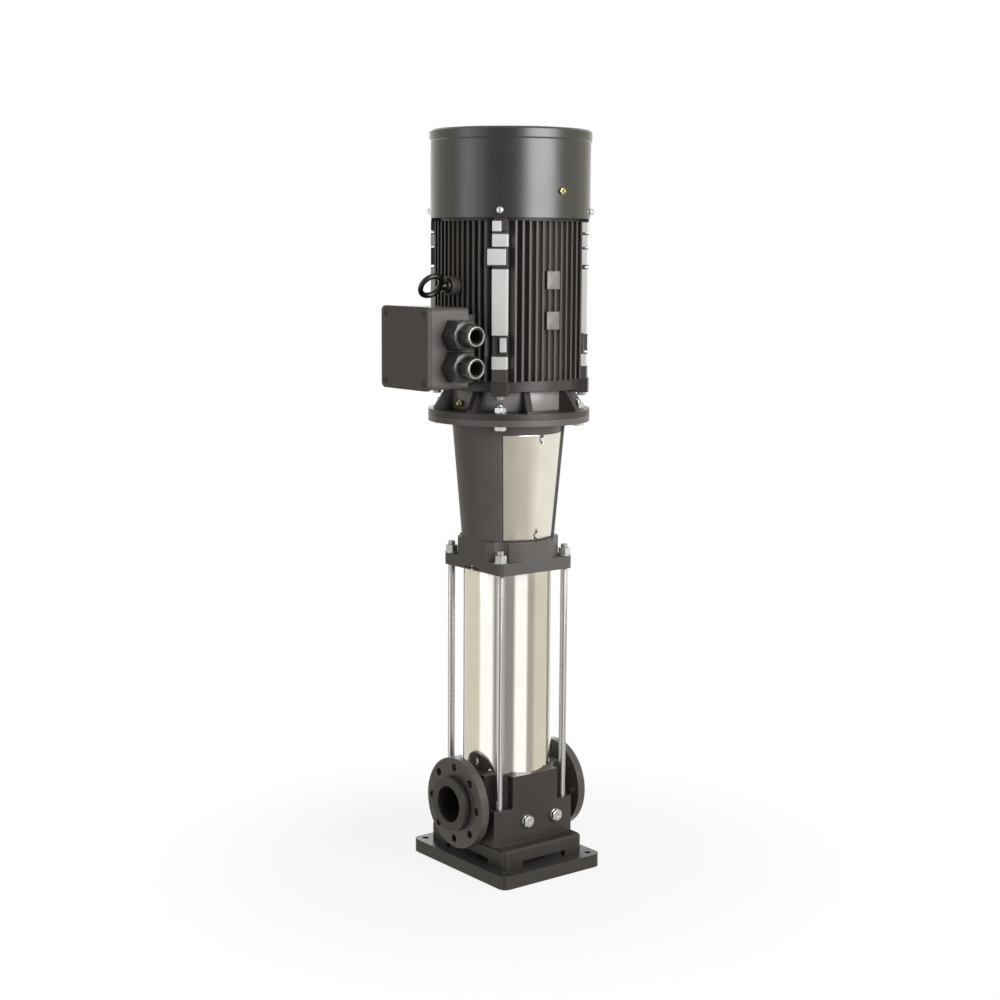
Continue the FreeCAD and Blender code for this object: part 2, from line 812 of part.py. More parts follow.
def pump_head():
    """Iron head: square plate for the stay bolts under a round drum with pockets for the nuts."""
    plate = rounded_block(head_plate_length, head_plate_width, head_plate_corner, head_z, head_plate_thick)
    drum = rod(head_drum_radius, head_plate_top - 1, head_top_z - head_plate_top + 1)
    drum = drum.common(rounded_block(head_plate_length, head_plate_width, head_plate_corner,
                                     head_plate_top - 2, head_top_z - head_plate_top + 4))
    pockets = []
    for sx, sy in CORNERS:
        pockets.append(rod(nut_pocket_radius, head_plate_top, head_top_z, sx * stay_half, sy * stay_half))
        corner = block(min(sx * stay_half, sx * head_plate_length),
                       max(sx * stay_half, sx * head_plate_length),
                       min(sy * stay_half, sy * head_plate_width), max(sy * stay_half, sy * head_plate_width),
                       head_plate_top, head_top_z + 1)
        pockets.append(corner)
    head = joined([plate, drum.cut(pockets)])
    cavity = rod(head_cavity_radius, head_z - 1, head_cavity_z - head_z + 1)
    skirt = tube(head_skirt_outer, head_skirt_inner, stack_top_z + bracket_height,
                 head_cavity_z - stack_top_z - bracket_height + 1)
    head = head.cut(cavity)
    head = head.cut(rod(sleeve_radius + fit_gap, head_z - 1, sleeve_seat_depth + 1))
    head = head.cut(o_ring_groove(sleeve_top_z - o_ring_from_end))
    head = joined([head, skirt])
    bolt_holes = [rod(stay_radius + running_gap, head_z - 1, head_plate_thick + 2, sx * stay_half,
                      sy * stay_half)
                  for sx, sy in CORNERS]
    head = head.cut(bolt_holes + [rod(seal_bore_radius, head_cavity_z - 1, head_top_z)])
    stool_threads = [rod(stool_screw_dia / 2 + thread_gap, head_top_z - stool_screw_reach - 2,
                         stool_screw_reach + 3, *place)
                     for place in stool_places()]
    seal_threads = [rod(seal_screw_dia / 2 + thread_gap, head_top_z - seal_screw_reach - 2,
                        seal_screw_reach + 3, *place)
                    for place in seal_places()]
    vent = rod_along(vent_thread_dia / 2 + thread_gap, (0, head_plate_width / 2 + 1, vent_z), -Y_AXIS,
                     vent_thread_length + 1)
    return head.cut(stool_threads + seal_threads + [vent])


def vent_plug():
    """Plug for filling and venting, at the back of the head."""
    face = head_plate_width / 2
    head = moved(turned(hexagon(vent_hex, 0, vent_hex_height), -90, X_AXIS), 0, face, vent_z)
    thread = rod_along(vent_thread_dia / 2, (0, face + 1, vent_z), -Y_AXIS, vent_thread_length)
    return joined([head, thread])


def inlet_part():
    """Ring that carries the stages on the suction tube, with spokes that hold the lower bearing."""
    ring = tube(chamber_radius, suction_radius - 6, inlet_part_z, inlet_part_height)
    hub = rod(bush_outer + bush_hub_wall, inlet_part_z, inlet_part_height)
    spoke = block(0, suction_radius, -spoke_thick / 2, spoke_thick / 2, inlet_part_z, stage_z)
    part = joined([ring, hub] + around(spoke, 3, 30))
    return part.cut(rod(bush_outer + fit_gap, inlet_part_z - 1, inlet_part_height + 2))


def stage_chamber(index):
    """Cup of one stage: wall, floor with its neck ring, and the guide vanes that lead to the next eye."""
    z = stage_z + index * stage_pitch
    wall = tube(chamber_radius, chamber_radius - chamber_wall, z, stage_pitch)
    floor = tube(chamber_radius - 1, neck_ring_inner, z, chamber_floor)
    ring = tube(neck_ring_inner + neck_ring_wall, neck_ring_inner, z, neck_ring_height)
    disc_z = z + guide_disc_height
    disc = tube(guide_disc_radius, spacer_radius + running_gap, disc_z, guide_disc_thick)
    blade = vane(guide_vane_inner, chamber_radius - 1, -guide_vane_sweep, guide_vane_thick,
                 disc_z + guide_disc_thick / 2, stage_pitch - guide_disc_height - guide_disc_thick / 2)
    return joined([wall, floor, ring, disc] + around(blade, guide_vanes))


def top_bracket():
    """Ring above the last stage with windows, through which the water turns down outside the stages."""
    z = stack_top_z
    wall = tube(chamber_radius, chamber_radius - bracket_wall, z, bracket_height)
    lid = tube(chamber_radius - 1, spacer_radius + running_gap, z, chamber_floor)
    window_z = z + (bracket_height - bracket_window_height) / 2 + 2
    window = block(0, chamber_radius + 5, -bracket_window_width / 2, bracket_window_width / 2,
                   window_z, window_z + bracket_window_height)
    window = window.cut(rod(chamber_radius - 20, z - 1, bracket_height + 2))
    openings = [rod(bracket_hole_radius, z - 1, 6, *polar(bracket_hole_pcd / 2, 60 * i)) for i in range(6)]
    return joined([wall, lid]).cut(around(window, bracket_windows) + openings)


def bearing_bush():
    """Bush in the inlet ring for the foot of the pump shaft."""
    return tube(bush_outer, shaft_radius + fit_gap, inlet_part_z, bush_height)


def pump_shaft():
    """Shaft of the pump, from the lower bearing up into the coupling."""
    top = coupling_joint_z - shaft_end_gap / 2
    shaft = rod(shaft_radius, pump_shaft_bottom_z, top - pump_shaft_bottom_z)
    return shaft.makeChamfer(1.0, [e for e in shaft.Edges if e.BoundBox.ZLength < 1e-6])


def impeller(index):
    """Closed impeller: two shrouds, swept blades, hub, and a skirt that runs in the neck ring."""
    z = stage_z + index * stage_pitch + impeller_start
    lower_z = z + neck_ring_height - skirt_overlap
    lower = tube(impeller_radius, neck_ring_inner - running_gap - skirt_wall, lower_z, shroud_thick)
    upper_z = lower_z + shroud_thick + impeller_outlet_width
    upper = rod(impeller_radius, upper_z, shroud_thick)
    skirt_outer = neck_ring_inner - running_gap
    skirt = tube(skirt_outer, skirt_outer - skirt_wall, z - skirt_drop, neck_ring_height + skirt_drop)
    hub_bottom, hub_top = hub_span(index)
    hub = rod(impeller_hub_radius, hub_bottom, hub_top - hub_bottom)
    blade = vane(blade_inner, blade_outer, -blade_sweep, blade_thick, lower_z + shroud_thick / 2,
                 impeller_outlet_width + shroud_thick)
    wheel = joined([lower, upper, skirt, hub] + around(blade, impeller_blades))
    return wheel.cut(rod(shaft_radius, z - 20, stage_pitch))


def hub_span(index):
    """Bottom and top height of one impeller hub."""
    z = stage_z + index * stage_pitch + impeller_start
    top = z + neck_ring_height - skirt_overlap + 2 * shroud_thick + impeller_outlet_width + impeller_hub_above
    return top - impeller_hub_height, top


def shaft_spacers():
    """Sleeves on the shaft that hold the impellers apart and carry the last one up to the seal."""
    pieces = []
    for index in range(stage_count):
        start = hub_span(index)[1]
        end = hub_span(index + 1)[0]
        if index == stage_count - 1:
            end = head_top_z - seal_seat_height - rotating_seal_height
        pieces.append(tube(spacer_radius, shaft_radius, start, end - start))
    start = inlet_part_z + inlet_part_height
    pieces.append(tube(spacer_radius, shaft_radius, start, hub_span(0)[0] - start))
    return group(pieces)


def rotating_seal():
    """Turning half of the shaft seal."""
    z = head_top_z - seal_seat_height - rotating_seal_height
    body_height = rotating_seal_height - rotating_face_height
    lower = tube(rotating_seal_radius, shaft_radius, z, body_height)
    upper = tube(rotating_seal_radius - rotating_face_inset, shaft_radius, z + body_height - 1,
                 rotating_face_height + 1 - seat_gap)
    return joined([lower, upper])


def seal_seat():
    """Standing half of the shaft seal, held in the bore of the head under the cover."""
    return tube(seal_bore_radius - fit_gap, shaft_radius + running_gap, head_top_z - seal_seat_height,
                seal_seat_height)


def seal_places():
    """Screw places of the seal cover."""
    return [polar(seal_screw_pcd / 2, 45 + 90 * i) for i in range(seal_cover_screws)]


def seal_cover():
    """Cover plate over the shaft seal, with the screws that hold it."""
    cover = revolve([(shaft_radius + 1, head_top_z), (seal_cover_radius, head_top_z),
                     (seal_cover_radius, head_top_z + seal_cover_thick - seal_cover_chamfer),
                     (seal_cover_radius - seal_cover_chamfer, head_top_z + seal_cover_thick),
                     (shaft_radius + 1, head_top_z + seal_cover_thick)])
    holes = [rod(seal_screw_dia / 2 + seat_gap, head_top_z - 1, seal_cover_thick + 2, *p)
             for p in seal_places()]
    return cover.cut(holes)


def seal_screws():
    """Hexagon screws of the seal cover."""
    screws = []
    top = head_top_z + seal_cover_thick
    for place in seal_places():
        head = hexagon(seal_screw_dia * 1.65, top, 4, *place)
        screws.append(joined([head, rod(seal_screw_dia / 2, head_top_z - seal_screw_reach,
                                        seal_cover_thick + seal_screw_reach + 2, *place)]))
    return group(screws)


def stool_places():
    """Screw places of the motor stool, two in each leg."""
    return [polar(stool_screw_pcd / 2, a) for a in (-25, 25, 155, 205)]


def motor_stool():
    """Tapered iron stool with two broad legs, windows front and back, and the flange for the motor."""
    top = stool_flange_z
    outer = [(stool_bottom_radius, head_top_z), (stool_top_radius, top)]
    inner = [(stool_top_radius - stool_wall, top), (stool_bottom_radius - stool_wall, head_top_z)]
    depth = stool_recess_depth
    skin = revolve(outer + [(stool_top_radius - depth, top), (stool_bottom_radius - depth, head_top_z)])
    shell = revolve(outer + inner)
    reach = stool_top_radius + 20
    for angle in (-90.0, 90.0):
        slice_of_disc = wedge(stool_recess_half_angle, reach, head_top_z - 1, top - head_top_z + 1, angle)
        shell = shell.cut(skin.common(slice_of_disc))
        shell = shell.cut(wedge(stool_window_half_angle, reach, stool_window_bottom_z,
                                stool_window_top_z - stool_window_bottom_z, angle))
    foot = tube(stool_bottom_radius - stool_wall + 1, stool_foot_bore, head_top_z, stool_foot_thick)
    flange = tube(motor_flange_radius, stool_top_radius - stool_wall - stool_flange_lip, top,
                  stool_flange_thick)
    stool = joined([shell, foot, flange])
    holes = [rod(stool_screw_dia / 2 + running_gap, head_top_z - 1, stool_foot_thick + 2, *p)
             for p in stool_places()]
    bolts = [rod(motor_bolt_dia / 2 + running_gap, top - 1, stool_flange_thick + 2, *p)
             for p in motor_bolt_places()]
    threads = [screw_shank(angle, z, thread_gap) for angle, z in guard_screw_places()]
    return stool.cut(holes + bolts + threads)


def stool_screws():
    """Screws that hold the stool to the head."""
    screws = []
    top = head_top_z + stool_foot_thick
    for place in stool_places():
        head = hexagon(stool_screw_dia * 1.7, top, stool_screw_head, *place)
        shank = rod(stool_screw_dia / 2, head_top_z - stool_screw_reach,
                    stool_foot_thick + stool_screw_reach + 2, *place)
        screws.append(joined([head, shank]))
    return group(screws)


def recess_radius(z):
    """Outside radius of the stool where a guard lies against it."""
    return cone_radius(z) - stool_recess_depth


def guard_screw_places():
    """Angle and height of each coupling guard screw."""
    inset = guard_slot_depth - guard_screw_dia / 2 - 1
    heights = (guard_bottom_z + inset, guard_top_z - inset)
    return [(angle, z) for angle in (-90.0, 90.0) for z in heights]


def screw_shank(angle, z, gap=0.0):
    """Shank of a coupling guard screw, pointing inwards."""
    length = stool_wall - stool_recess_depth - 1
    start = recess_radius(z) + guard_thick + running_gap + 0.5
    return turned(rod_along(guard_screw_dia / 2 + gap, (start, 0, z), -X_AXIS, length), angle)


def coupling_guard(angle):
    """Sheet guard in the recess over one window, with clipped corners and open slots for its screws."""
    low, high = guard_bottom_z, guard_top_z
    gap = running_gap
    sheet = revolve([(recess_radius(low) + gap, low), (recess_radius(low) + gap + guard_thick, low),
                     (recess_radius(high) + gap + guard_thick, high), (recess_radius(high) + gap, high)])
    half = stool_recess_half_angle - guard_edge_gap
    reach = stool_top_radius + 20
    sheet = sheet.common(wedge(half, reach, low - 1, high - low + 2, angle))
    cuts = []
    for z in (low, high):
        inwards = 1 if z == low else -1
        slot_low, slot_high = sorted((z - inwards, z + inwards * guard_slot_depth))
        slot = block(0, reach, -guard_slot_width / 2, guard_slot_width / 2, slot_low, slot_high)
        cuts.append(turned(slot, angle))
        for side in (-1, 1):
            side_length = math.sqrt(2) * guard_clip
            corner = Part.makeBox(60, side_length, side_length,
                                  FreeCAD.Vector(-30, -side_length / 2, -side_length / 2))
            corner = turned(turned(corner, 45, X_AXIS), angle + side * half)
            cuts.append(moved(corner, *polar(recess_radius(z), angle + side * half), z))
    return sheet.cut(cuts)


def coupling_guards():
    """The front and the rear guard."""
    return group([coupling_guard(-90.0), coupling_guard(90.0)])


def guard_screws():
    """Pan head screws of the coupling guards."""
    screws = []
    for angle, z in guard_screw_places():
        start = recess_radius(z) + guard_thick + running_gap + 0.3
        head = rod_along(guard_screw_head / 2, (start, 0, z), X_AXIS, guard_screw_head_height)
        screws.append(joined([turned(head, angle), screw_shank(angle, z)]))
    return group(screws)


def coupling_halves():
    """Two half shells clamped on both shaft ends."""
    edge = coupling_chamfer
    body = revolve([(0, coupling_bottom_z), (coupling_radius - edge, coupling_bottom_z),
                    (coupling_radius, coupling_bottom_z + edge), (coupling_radius, coupling_top_z - edge),
                    (coupling_radius - edge, coupling_top_z), (0, coupling_top_z)])
    body = body.cut([rod(shaft_radius, coupling_bottom_z - 1, coupling_joint_z - coupling_bottom_z + 1),
                     rod(motor_shaft_dia / 2, coupling_joint_z, coupling_top_z - coupling_joint_z + 1)])
    body = body.cut(block(-coupling_radius - 1, coupling_radius + 1, -coupling_split / 2, coupling_split / 2,
                          coupling_bottom_z - 1, coupling_top_z + 1))
    holes = [coupling_bolt(x, z, coupling_screw_dia / 2, coupling_radius * 2, -coupling_radius)
             for x, z in coupling_places()]
    pockets = [coupling_bolt(x, z, coupling_screw_dia * 0.95, coupling_radius, coupling_pocket_y)
               for x, z in coupling_places()]
    return body.cut(holes + pockets)


def coupling_places():
    """Places of the coupling screws."""
    low = coupling_bottom_z + coupling_screw_inset
    high = coupling_top_z - coupling_screw_inset
    return [(sx * coupling_screw_offset, z) for sx in (-1, 1) for z in (low, high)]


def coupling_bolt(x, z, radius, length, start):
    """Cylinder along Y through the coupling."""
    return rod_along(radius, (x, start, z), Y_AXIS, length)


def coupling_screws():
    """Socket screws across the coupling halves."""
    screws = []
    for x, z in coupling_places():
        shank = coupling_bolt(x, z, coupling_screw_dia / 2, 44, coupling_pocket_y - 44)
        head = coupling_bolt(x, z, coupling_screw_dia * 0.8, coupling_screw_dia, coupling_pocket_y)
        socket_y = coupling_pocket_y + coupling_screw_dia / 2
        socket = moved(turned(hexagon(coupling_screw_dia * 0.8, 0, 6), -90, X_AXIS), x, socket_y, z)
        screws.append(joined([shank, head]).cut(socket))
    return group(screws)


def motor_bolt_places():
    """Bolt places of the motor flange, between the axes."""
    return [polar(motor_bolt_radius, 45 + 90 * i) for i in range(4)]


def flange_bolts():
    """Bolts through the stool flange and the motor flange, heads below."""
    bolts = []
    for place in motor_bolt_places():
        head = hexagon(motor_bolt_hex, stool_flange_z - motor_bolt_head, motor_bolt_head, *place)
        length = motor_bolt_head + stool_flange_thick + motor_flange_thick + motor_nut_height + motor_bolt_tip
        shank = rod(motor_bolt_dia / 2, stool_flange_z - motor_bolt_head, length, *place)
        bolts.append(joined([head, shank]))
    return group(bolts)


def flange_nuts():
    """Nuts on top of the motor flange."""
    nuts = []
    for place in motor_bolt_places():
        nut = hexagon(motor_bolt_hex, motor_flange_top, motor_nut_height, *place)
        nuts.append(nut.cut(rod(motor_bolt_dia / 2 + thread_gap, motor_flange_top - 1, motor_nut_height + 2,
                                *place)))
    return group(nuts)


def lug_places(radius):
    """Bolt places where an end shield meets the corner strips of the frame."""
    return [polar(radius, 45 + 90 * i) for i in range(4)]


def drive_end_shield():
    """Lower motor shield: flange, bearing hub, ribbed drum and the ring that the frame stands on."""
    flange = rod(motor_flange_radius, stool_top_z, motor_flange_thick)
    drum = tube(shield_drum_radius, shield_drum_radius - shield_drum_wall, motor_flange_top - 1,
                shield_ring_z - motor_flange_top + 2)
    hub = rod(bearing_outer_radius + bearing_wall, motor_flange_top - 1,
              drive_bearing_top - motor_flange_top + 5)
    ring = tube(shield_ring_radius, frame_bore_radius, shield_ring_z, frame_bottom_z - shield_ring_z)
    register = tube(frame_bore_radius - seat_gap, frame_bore_radius - 8, shield_ring_z,
                    frame_bottom_z - shield_ring_z + register_height)
    inner_ring = tube(frame_bore_radius + 4, frame_bore_radius - 8, shield_ring_z,
                      frame_bottom_z - shield_ring_z)
    low = motor_flange_top - 1
    high = shield_ring_z + 1
    rib_foot = motor_flange_radius - shield_rib_inset
    rib_profile = [(shield_drum_radius - 5, low), (rib_foot, low), (rib_foot, low + 5),
                   (shield_ring_radius - shield_rib_inset, high), (shield_drum_radius - 5, high)]
    corners = [FreeCAD.Vector(r, -shield_rib_thick / 2, z) for r, z in rib_profile]
    rib = Part.Face(Part.makePolygon(corners + corners[:1])).extrude(FreeCAD.Vector(0, shield_rib_thick, 0))
    lug = block(shield_ring_radius - 20, shield_lug_radius, -shield_lug_width / 2, shield_lug_width / 2,
                shield_ring_z - shield_lug_drop, frame_bottom_z)
    parts = [flange, drum, hub, ring, inner_ring, register] + around(rib, shield_ribs, 22.5) + around(lug,
                                                                                                      4, 45)
    shield = joined(parts)
    bearing_seat = rod(bearing_outer_radius, drive_bearing_z, 80)
    shaft_hole = rod(bearing_bore_dia / 2 + shaft_hole_gap, stool_top_z - 1, 80)
    bolts = [rod(motor_bolt_dia / 2 + running_gap, stool_top_z - 1, motor_flange_thick + 2, *p)
             for p in motor_bolt_places()]
    holes = [rod(shield_bolt_dia / 2 + running_gap, shield_ring_z - shield_lug_drop - 1, 80, *p)
             for p in lug_places(shield_bolt_radius)]
    nipple_hole = rod_along(nipple_stem_radius + seat_gap, (-shield_drum_radius - 1, 0, drain_nipple_z),
                            X_AXIS, 12)
    return shield.cut([bearing_seat, shaft_hole, nipple_hole] + bolts + holes)


def shield_bolts():
    """Screws that hold both end shields to the corner strips of the frame."""
    screws = []
    low = shield_ring_z - shield_lug_drop
    high = frame_top_z + fan_shield_thick
    low_length = frame_bottom_z + shield_bolt_reach - low
    high_length = fan_shield_thick + fan_bolt_reach
    for x, y in lug_places(shield_bolt_radius):
        head = hexagon(shield_bolt_hex, low - shield_bolt_head, shield_bolt_head, x, y, 15)
        screws.append(joined([head, rod(shield_bolt_dia / 2, low - 1, low_length, x, y)]))
    for x, y in lug_places(fan_bolt_radius):
        head = hexagon(shield_bolt_hex, high, shield_bolt_head, x, y, 15)
        screws.append(joined([head, rod(shield_bolt_dia / 2, high - high_length, high_length + 1, x, y)]))
    return group(screws)


def fin_bank():
    """Fins of one side of the frame, cut to a slightly crowned outline."""
    height = frame_top_z - frame_bottom_z
    fins = []
    for i in range(fins_per_bank):
        y = (i - (fins_per_bank - 1) / 2) * fin_pitch
        fins.append(block(60, fin_reach + 10, y - fin_thick / 2, y + fin_thick / 2, frame_bottom_z,
                          frame_top_z))
    crown = rod(fin_crown_radius, frame_bottom_z - 1, height + 2, fin_reach - fin_crown_radius)
    keep = crown.cut(rod(frame_bore_radius + 4, frame_bottom_z - 2, height + 4))
    return [fin.common(keep) for fin in fins]


def corner_strip():
    """Grooved strip at one corner of the frame, from the core out to its flat face."""
    strip = block(frame_core_radius - 6, corner_radius, -corner_half_width, corner_half_width,
                  frame_bottom_z, frame_top_z)
    pad = block(corner_radius - corner_pad_depth, corner_radius, -corner_half_width - corner_pad_extra,
                corner_half_width, corner_pad_bottom, corner_pad_top)
    floor = corner_radius - corner_groove_depth
    wide = corner_half_width + corner_pad_extra + 1
    grooves = []
    for z in (frame_top_z - upper_groove_below_top, corner_pad_top, corner_pad_bottom - corner_groove,
              notch_top, notch_bottom - corner_groove):
        grooves.append(block(floor, corner_radius + 1, -wide, wide, z, z + corner_groove))
    half_notch = block(floor, corner_radius + 1, -wide, 0, notch_bottom, notch_top)
    return joined([strip, pad]).cut(grooves + [half_notch])


def stator_frame():
    """Motor frame: bored core, fins on four sides, corner strips, saddle for the terminal box and pads."""
    core = rod(frame_core_radius, frame_bottom_z, frame_top_z - frame_bottom_z)
    fins = []
    for i in range(4):
        fins += [turned(fin, 90 * i) for fin in fin_bank()]
    strips = around(corner_strip(), 4, 45)
    saddle_half_width = box_width / 2 - saddle_side
    saddle_half_height = box_height / 2 - saddle_end
    saddle = block(-box_back_x, -frame_core_radius + 20, -saddle_half_width, saddle_half_width,
                   box_z - saddle_half_height, box_z + saddle_half_height)
    boss = rod_along(eye_boss_radius, (-eye_boss_x, 0, eye_z), X_AXIS, eye_boss_x - frame_core_radius + 10)
    pads = [block(-side_pad_width / 2, side_pad_width / 2, -side_pad_reach, -frame_core_radius + 6,
                  z - side_pad_height / 2, z + side_pad_height / 2)
            for z in (frame_bottom_z + side_pad_upper, frame_bottom_z + side_pad_lower)]
    frame = core.multiFuse(fins + strips + [saddle, boss] + pads)
    frame = frame.cut(rod(frame_bore_radius, frame_bottom_z - 1, frame_top_z - frame_bottom_z + 2))
    wire_way = rod_along(wire_hole_radius, (-box_back_x - 1, 0, box_z), X_AXIS,
                         box_back_x - frame_bore_radius + 10)
    threads = [rod(shield_bolt_dia / 2 + thread_gap, z, shield_bolt_reach + 3, *p)
               for radius, z in ((shield_bolt_radius, frame_bottom_z - 1),
                                 (fan_bolt_radius, frame_top_z - shield_bolt_reach))
               for p in lug_places(radius)]
    eye_thread = rod_along(eye_shank_radius + thread_gap, (-eye_boss_x - 1, 0, eye_z), X_AXIS,
                           eye_shank_length + 2)
    return frame.cut(threads + [wire_way, eye_thread])


def stator_core():
    """Laminated stator core, pressed into the frame."""
    return tube(frame_bore_radius, rotor_radius + air_gap, core_bottom_z, core_top_z - core_bottom_z)


def stator_windings():
    """Winding heads at both ends of the stator core."""
    rings = []
    bulge = winding_bulge
    winding_inner = rotor_radius + air_gap + winding_inner_gap
    winding_outer = frame_bore_radius - winding_gap
    for z, way in ((core_bottom_z, -1), (core_top_z, 1)):
        far = z + way * winding_height
        rings.append(revolve([(winding_inner, z), (winding_outer, z), (winding_outer, far - way * bulge),
                              (winding_outer - bulge, far), (winding_inner + bulge, far),
                              (winding_inner, far - way * bulge)]))
    return group(rings)


def motor_shaft():
    """Motor shaft with its bearing seats, from the coupling up to the fan."""
    r_end, r_bearing = motor_shaft_dia / 2, bearing_bore_dia / 2
    r_rotor, r_fan = rotor_seat_dia / 2, fan_shaft_dia / 2
    bottom = coupling_joint_z + shaft_end_gap / 2
    return revolve([(0, bottom), (r_end, bottom), (r_end, stool_top_z), (r_bearing, stool_top_z),
                    (r_bearing, drive_bearing_top), (r_rotor, drive_bearing_top),
                    (r_rotor, fan_bearing_z), (r_bearing, fan_bearing_z), (r_bearing, fan_bearing_top),
                    (r_fan, fan_bearing_top), (r_fan, fan_shaft_top_z), (0, fan_shaft_top_z)])


def rotor_core():
    """Cage rotor on the motor shaft, with its end rings."""
    stack = tube(rotor_radius, rotor_seat_dia / 2, core_bottom_z, core_top_z - core_bottom_z)
    ring_outer = rotor_radius - 3
    ends = [tube(ring_outer, ring_outer - rotor_ring_width, z, rotor_ring_height)
            for z in (core_bottom_z - rotor_ring_height, core_top_z)]
    return joined([stack] + ends)


def bearing_outer_rings():
    """Outer rings of both motor bearings."""
    return group([tube(bearing_outer_radius, bearing_outer_radius - bearing_race, z, bearing_width)
                  for z in (drive_bearing_z, fan_bearing_z)])


def bearing_inner_rings():
    """Inner rings of both motor bearings, with the balls' shields."""
    rings = []
    bore = bearing_bore_dia / 2
    shield_radius = bearing_outer_radius - bearing_race - running_gap
    for z in (drive_bearing_z, fan_bearing_z):
        shield = tube(shield_radius, bore, z + bearing_shield_inset, bearing_width - 2 * bearing_shield_inset)
        rings.append(joined([tube(bore + bearing_race, bore, z, bearing_width), shield]))
    return group(rings)


def fan_end_shield():
    """Upper motor shield with the bearing hub, and lugs that reach out to the fan cover."""
    disc = rod(shield_ring_radius, frame_top_z, fan_shield_thick)
    hub = rod(fan_shield_hub_radius, frame_top_z, fan_shield_hub_top - frame_top_z)
    register = rod(frame_bore_radius - seat_gap, frame_top_z - register_height, register_height + 1)
    reach = cover_radius - cover_wall - seat_gap
    arm = block(frame_bore_radius, shield_lug_radius + 30, -cover_lug_half, cover_lug_half, frame_top_z,
                frame_top_z + fan_shield_thick)
    post = block(reach - cover_post_thick, reach + 5, -cover_lug_half, cover_lug_half, frame_top_z,
                 cover_screw_z + cover_lug_half)
    limit = rod(reach, frame_top_z - 1, 60)
    shield = joined([disc, hub, register] + around(arm.common(limit), 4, 45) + around(post.common(limit), 4,
                                                                                      45))
    seat = rod(bearing_outer_radius, frame_top_z - 20, fan_bearing_top - frame_top_z + 20)
    shaft_hole = rod(bearing_bore_dia / 2 + shaft_hole_gap, frame_top_z - 20, 100)
    holes = [rod(shield_bolt_dia / 2 + running_gap, frame_top_z - 1, fan_shield_thick + 2, *p)
             for p in lug_places(fan_bolt_radius)]
    threads = [turned(rod_along(cover_screw_dia / 2 + thread_gap, (reach - 8, 0, cover_screw_z), X_AXIS,
                                20), a)
               for a in (45, 135, 225, 315)]
    return shield.cut([seat, shaft_hole] + holes + threads)


def cooling_fan():
    """Fan wheel on the top end of the motor shaft."""
    hub = rod(fan_hub_radius, fan_z - fan_hub_drop, fan_hub_drop + fan_hub_above)
    disc = rod(fan_blade_outer - fan_disc_inset, fan_z, fan_disc_thick)
    blade = block(fan_blade_inner, fan_blade_outer, -fan_blade_thick / 2, fan_blade_thick / 2,
                  fan_z, fan_z + fan_blade_height)
    limit = rod(fan_blade_outer, fan_z - 20, 100)
    wheel = joined([hub, disc] + around(blade.common(limit), fan_blades, 10))
    return wheel.cut(rod(fan_shaft_dia / 2, fan_z - 20, 100))


def fan_cover():
    """Sheet cover over the fan, with a rolled band and a ring grille in its top."""
    band_z = cover_top_z - cover_band_height
    outer = cover_radius
    wide = cover_radius + cover_band_step
    wall = cover_wall
    edge = cover_edge
    shell = revolve([(outer - wall, cover_bottom_z), (outer, cover_bottom_z), (outer, band_z),
                     (wide, band_z + cover_band_step), (wide, cover_top_z - edge), (wide - edge, cover_top_z),
                     (0, cover_top_z), (0, cover_top_z - wall), (wide - edge - wall / 2, cover_top_z - wall),
                     (wide - wall, cover_top_z - edge - wall / 2),
                     (wide - wall, band_z + cover_band_step + 1),
                     (outer - wall, band_z + 1)])
    slots = []
    for i in range(grille_rings):
        inner = grille_first_radius + i * grille_pitch
        slots.append(tube(inner + grille_slot, inner, cover_top_z - 6, 12))
    spokes = around(block(0, wide, -grille_spoke_width / 2, grille_spoke_width / 2, cover_top_z - 8,
                          cover_top_z + 8), grille_spokes)
    shell = shell.cut([slot.cut(spokes) for slot in slots])
    holes = [turned(rod_along(cover_screw_dia / 2 + running_gap, (outer - 8, 0, cover_screw_z), X_AXIS, 20),
                    a)
             for a in (45, 135, 225, 315)]
    nipple_hole = rod_along(nipple_stem_radius + seat_gap, (0, -outer + 8, nipple_z), -Y_AXIS, 20)
    return shell.cut(holes + [nipple_hole])


def fan_cover_screws():
    """Domed screws round the foot of the fan cover."""
    dome_height = cover_screw_dome
    radius = cover_screw_head / 2
    dome = Part.makeCylinder(radius, dome_height, FreeCAD.Vector(cover_radius, 0, cover_screw_z), X_AXIS)
    rim = [e for e in dome.Edges if abs(e.BoundBox.XMin - cover_radius - dome_height) < 1e-6
           and e.BoundBox.XLength < 1e-6]
    dome = dome.makeFillet(4.0, rim)
    shank = rod_along(cover_screw_dia / 2, (cover_radius - 9, 0, cover_screw_z), X_AXIS, 10)
    return group(around(joined([dome, shank]), 4, 45))


def lid_screw_places():
    """Places of the lid screws, measured from the middle of the box."""
    return [(sx * (box_height / 2 - lid_screw_inset), sy * (box_width / 2 - lid_screw_inset))
            for sx, sy in CORNERS]


def facing_x(shape, face_x):
    """Turn an upright shape so that its top looks along -X at the given place."""
    return moved(turned(shape, -90, Y_AXIS), -face_x, 0, box_z)


